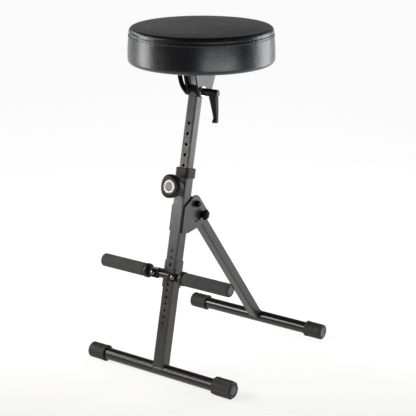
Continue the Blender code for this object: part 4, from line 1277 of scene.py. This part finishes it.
def buildCheekShadeSheet(make):
    low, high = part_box("lever_washer")
    pivot = (low + high) / 2
    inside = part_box("seat_cheek_left")[1].x + make["gap"]
    middle = Vector(make["middle"])
    thick, edge = make["thick"], make["edge"]
    rings = []
    for inset, along in ((edge, 0.0), (0.0, edge), (0.0, thick - edge), (edge, thick)):
        ring = []
        for corner in make["outline"]:
            spot = Vector(corner)
            spot -= (spot - middle).normalized() * inset
            ring.append(Vector((inside + along, pivot.y + spot.x, pivot.z + spot.y)))
        rings.append(ring)
    # the sheet is in the blackest plastic, a painted shadow on the cheek's inner face
    addPiece("cheekShadeSheet", closeRings(bmesh.new(), rings), starFinish, "seat")


buildCheekShadeSheet(cheekShadeSheetMake)
print("cheek lined")


# floor and light

awayFromCamera = (-0.577, 0.816, 0.0)
floorLook = {
    "size": 60.0,
    "colour": (0.30, 0.30, 0.30),
    "fade": 0.985,
    "patch": 3.0,
    "lift": (0.06, 0.93),   # glow at the near and far distances
    "near": -2.4,
    "far": 0.35,
}


def buildFloor(look):
    half = look["size"] / 2
    mesh = bpy.data.meshes.new("paleFloor")
    corners = [(-half, -half, 0), (half, -half, 0), (half, half, 0), (-half, half, 0)]
    mesh.from_pydata(corners, [], [(0, 1, 2, 3)])
    finish, shader = startFinish("paleFloor", {"Roughness": 0.9, "Specular IOR Level": 0.1})
    shader.inputs["Emission Color"].default_value = (1, 1, 1, 1)
    where = place(finish)
    tone = cloud(finish, where, look["patch"], 3.0)
    base = tint(finish, tone, faded(look["colour"], look["fade"]), look["colour"])
    seen = addNode(finish, "ShaderNodeLightPath", {}).outputs
    lift = sums(finish, seen["Is Camera Ray"], seen["Is Glossy Ray"], "MAXIMUM")
    lift = sums(finish, lift, seen["Is Transmission Ray"], "MAXIMUM")
    reach = vectors(finish, "DOT_PRODUCT", where, awayFromCamera)["Value"]
    glow = spread(finish, reach, look["near"], look["far"], *look["lift"])
    feed(finish, shader, Base_Color=base, Emission_Strength=product(finish, lift, glow))
    mesh.materials.append(finish)
    floor = bpy.data.objects.new("paleFloor", mesh)
    scene.collection.objects.link(floor)


lamps = {
    "faceBox": {
        "from": (-0.85, -1.45, 0.62), "to": (0, -0.14, 0.43), "size": (0.6, 0.16),
        "power": 0.165, "fan": 26, "tone": (1.0, 0.935, 0.885),
    },
    "leftBox": {
        "from": (-1.42, -0.86, 0.72), "to": (0, -0.05, 0.70), "size": (0.6, 1.2),
        "power": 15, "fan": 180, "tone": (1.0, 0.99, 0.975),
    },
    "rightBox": {
        "from": (1.545, -0.82, 0.42), "to": (0, 0, 0.74), "size": (1.7, 0.50),
        "power": 10.0, "fan": 180, "tone": (1.0, 1.0, 1.0),
    },
    "backBox": {
        "from": (0.90, 1.28, 0.70), "to": (0, 0, 0.60), "size": (1.0, 1.35),
        "power": 17, "fan": 180, "tone": (0.985, 0.99, 1.0),
    },
    "rimBox": {
        "from": (-1.50, -0.21, 1.32), "to": (0, 0, 0.81), "size": (1.6, 0.18),
        "power": 1.35, "fan": 70, "tone": (1.0, 1.0, 1.0),
    },
    "barStrip": {
        "from": (-1.23, -1.48, 1.27), "to": (0, -0.12, 0.0), "size": (1.3, 0.85),
        "power": 1.85, "fan": 34, "tone": (1.0, 0.945, 0.885), "roll": 10,
    },
}
worldLook = {
    "horizon": 0.60,
    "zenith": 0.12,
    "skyAt": (0.05, 0.75),
    "behindCamera": 0.30,
    "beyond": 0.52,
    "sideAt": (-0.7, 0.5),
}


def buildLamps(lamps):
    for name, lamp in lamps.items():
        data = bpy.data.lights.new(name, "AREA")
        data.shape = "RECTANGLE"
        data.size, data.size_y = lamp["size"]
        data.energy = lamp["power"]
        data.color = lamp["tone"]
        data.spread = math.radians(lamp["fan"])
        light = bpy.data.objects.new(name, data)
        scene.collection.objects.link(light)
        aim = Vector(lamp["to"]) - Vector(lamp["from"])
        light.location = lamp["from"]
        roll = Matrix.Rotation(math.radians(lamp.get("roll", 0.0)), 3, "Z")
        light.rotation_euler = (aim.to_track_quat("-Z", "Y").to_matrix() @ roll).to_euler()


def buildWorld(look):
    world = bpy.data.worlds.new("studio")
    scene.world = world
    world.use_nodes = True
    where = addNode(world, "ShaderNodeTexCoord", {}).outputs["Generated"]
    horizon, zenith = (look["horizon"],) * 3, (look["zenith"],) * 3
    sky = tint(world, axis(world, where, "Z"), horizon, zenith, *look["skyAt"])
    side = vectors(world, "DOT_PRODUCT", where, awayFromCamera)["Value"]
    level = spread(world, side, *look["sideAt"], look["behindCamera"], look["beyond"])
    feed(world, world.node_tree.nodes["Background"], Color=sky, Strength=level)


buildFloor(floorLook)
buildLamps(lamps)
buildWorld(worldLook)
print("floor and light set")
